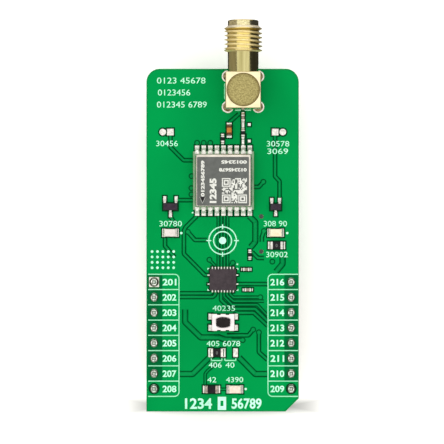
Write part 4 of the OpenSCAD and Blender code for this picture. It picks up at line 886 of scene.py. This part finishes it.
matrixTree, given = startTree("cell square", {
    "Place": "Vector", "Side": "Float", "Cells": "Int", "Thickness": "Float", "Share": "Float", "Seed": "Int",
    "Finish": "Material"})
cell = addNode(matrixTree, "ShaderNodeMath", {0: given["Side"], 1: given["Cells"]}, operation="DIVIDE")
span = addNode(matrixTree, "ShaderNodeMath", {0: given["Side"], 1: cell}, operation="SUBTRACT")
grid = addNode(matrixTree, "GeometryNodeMeshGrid",
               {"Size X": span, "Size Y": span, "Vertices X": given["Cells"],
                "Vertices Y": given["Cells"]})
chance = addNode(matrixTree, "FunctionNodeRandomValue",
                 {"Probability": given["Share"], "Seed": given["Seed"]}, data_type="BOOLEAN")
blockSize = addNode(matrixTree, "ShaderNodeCombineXYZ", {"X": cell, "Y": cell, "Z": given["Thickness"]})
block = addNode(matrixTree, "GeometryNodeMeshCube", {"Size": blockSize})
dots = addNode(matrixTree, "GeometryNodeInstanceOnPoints", {0: grid, 1: chance.outputs[3], 2: block})
laid = addNode(matrixTree, "GeometryNodeTransform", {"Geometry": dots, "Translation": given["Place"]})
endTree(matrixTree, laid, given["Finish"])
square = {"offset": (1.81, -1.7), "side": 4.15, "cells": 21, "top": 0.014, "share": 0.62, "seed": 7}
squareX, squareY = canX + square["offset"][0], canY + square["offset"][1]
runTree("shield_square", matrixTree, bpy.data.meshes.new("square_start"), {
    "Place": (squareX * mm, squareY * mm, canTop + (square["top"] - sunk) / 2 * mm),
    "Side": square["side"] * mm, "Cells": square["cells"], "Thickness": (square["top"] + sunk) * mm,
    "Share": square["share"], "Seed": square["seed"],
    "Finish": finishes["laser white"]["material"]})

# Nested squares in three corners of it
nest = {"reach": 1.36, "step": 0.002, "sides": (1.7, 1.43, 1.08, 0.82, 0.4),
        "coats": ("laser grey", "laser white")}
corners = [(squareX + i * nest["reach"], squareY + k * nest["reach"])
           for i, k in ((-1, 1), (-1, -1), (1, -1))]
for k, side in enumerate(nest["sides"]):
    addPlates(f"shield_nest_{k + 1}", [boxOutline(x, y, side, side) for x, y in corners],
              square["top"] + nest["step"] * (k + 1), nest["coats"][k % 2], base=canTop)
canText = {"weight": 0.05, "items": (   # from the can's middle
    ("0123456789", -3.44, 0.3, 0.62, 6.0, 90), ("12345", -1.73, -1.7, 1.15, 4.1, 90),
    ("0012345", 1.75, 3.05, 0.58, 4.25, 180), ("012345678", 1.55, 1.75, 0.6, 4.6, 180))}
addNumbers("shield_numbers", [(words, canX + x, canY + y, *rest) for words, x, y, *rest in canText["items"]],
           square["top"], "laser white", base=canTop, weight=canText["weight"])
pointer = {"offset": (-3.49, -3.3), "half": (0.48, 0.53), "inner": 0.9, "lift": 0.002}
pointX, pointY = canX + pointer["offset"][0], canY + pointer["offset"][1]
for name, scale, lift, finish in (
        ("shield_pointer", 1, 0, "laser white"),
        ("shield_pointer_fill", pointer["inner"], pointer["lift"], "resistor glaze")):
    wide, deep = pointer["half"][0] * scale, pointer["half"][1] * scale
    upper = pointY + pointer["half"][1]
    addPlates(name, [[(pointX - wide, upper), (pointX, upper - 2 * deep), (pointX + wide, upper)]],
              square["top"] + lift, finish, base=canTop)
print("shield marking")

# Floor: white card just under the pins that glows faintly; painted shadows darken it under the board and
# along its lower edge
ground = {"side": 3.0, "drop": 0.02, "glow": 0.25}   # m, mm
shades = ({"middle": (0, 14.5, 0), "squash": (1, 1, 1), "half": (9.0, 25.4), "soft": (-2.5, 3.6),
           "colour": "#727272"},
          {"middle": (0.3, -12.6, 0), "squash": (0.2, 1, 1), "half": (2.4, 0.2), "soft": (-0.4, 1.6),
           "colour": "#a4a4a4"})   # mm
shape = bmesh.new()
bmesh.ops.create_grid(shape, x_segments=1, y_segments=1, size=ground["side"] / 2,
                      matrix=Matrix.Translation((0, 0, cadBounds[0][2] - ground["drop"] * mm)))
floorMesh = bpy.data.meshes.new("floor")
shape.to_mesh(floorMesh)
shape.free()
card = finishes["white card"]
tree = card["tree"]
shaded = card["colour"]
# Each shade mixes a painted shadow into the card's colour and glow
for shade in shades:
    moved = addNode(tree, "ShaderNodeVectorMath", {0: card["place"], 1: [v * mm for v in shade["middle"]]},
                    operation="SUBTRACT")
    squashed = addNode(tree, "ShaderNodeVectorMath", {0: moved, 1: shade["squash"]}, operation="MULTIPLY")
    mirrored = addNode(tree, "ShaderNodeVectorMath", {0: squashed}, operation="ABSOLUTE")
    parts = addNode(tree, "ShaderNodeSeparateXYZ", {0: mirrored}).outputs
    beyond = [addNode(tree, "ShaderNodeMath", {0: parts[i], 1: shade["half"][i] * mm},
                      operation="SUBTRACT") for i in range(2)]
    away = addNode(tree, "ShaderNodeMath", {0: beyond[0], 1: beyond[1]}, operation="MAXIMUM")
    lit = addNode(tree, "ShaderNodeMapRange", {0: away, 1: shade["soft"][0] * mm, 2: shade["soft"][1] * mm},
                  interpolation_type="SMOOTHSTEP")
    shaded = addNode(tree, "ShaderNodeMix", {0: lit, 6: linear(shade["colour"]), 7: shaded},
                     data_type="RGBA").outputs[2]
tree.links.new(shaded, card["shader"].inputs["Base Color"])
tree.links.new(shaded, card["shader"].inputs["Emission Color"])
card["shader"].inputs["Emission Strength"].default_value = ground["glow"]
floorMesh.materials.append(card["material"])
floor = bpy.data.objects.new("floor", floorMesh)
floor.visible_glossy = False
floor.visible_shadow = False
scene.collection.objects.link(floor)
bpy.context.view_layer.update()
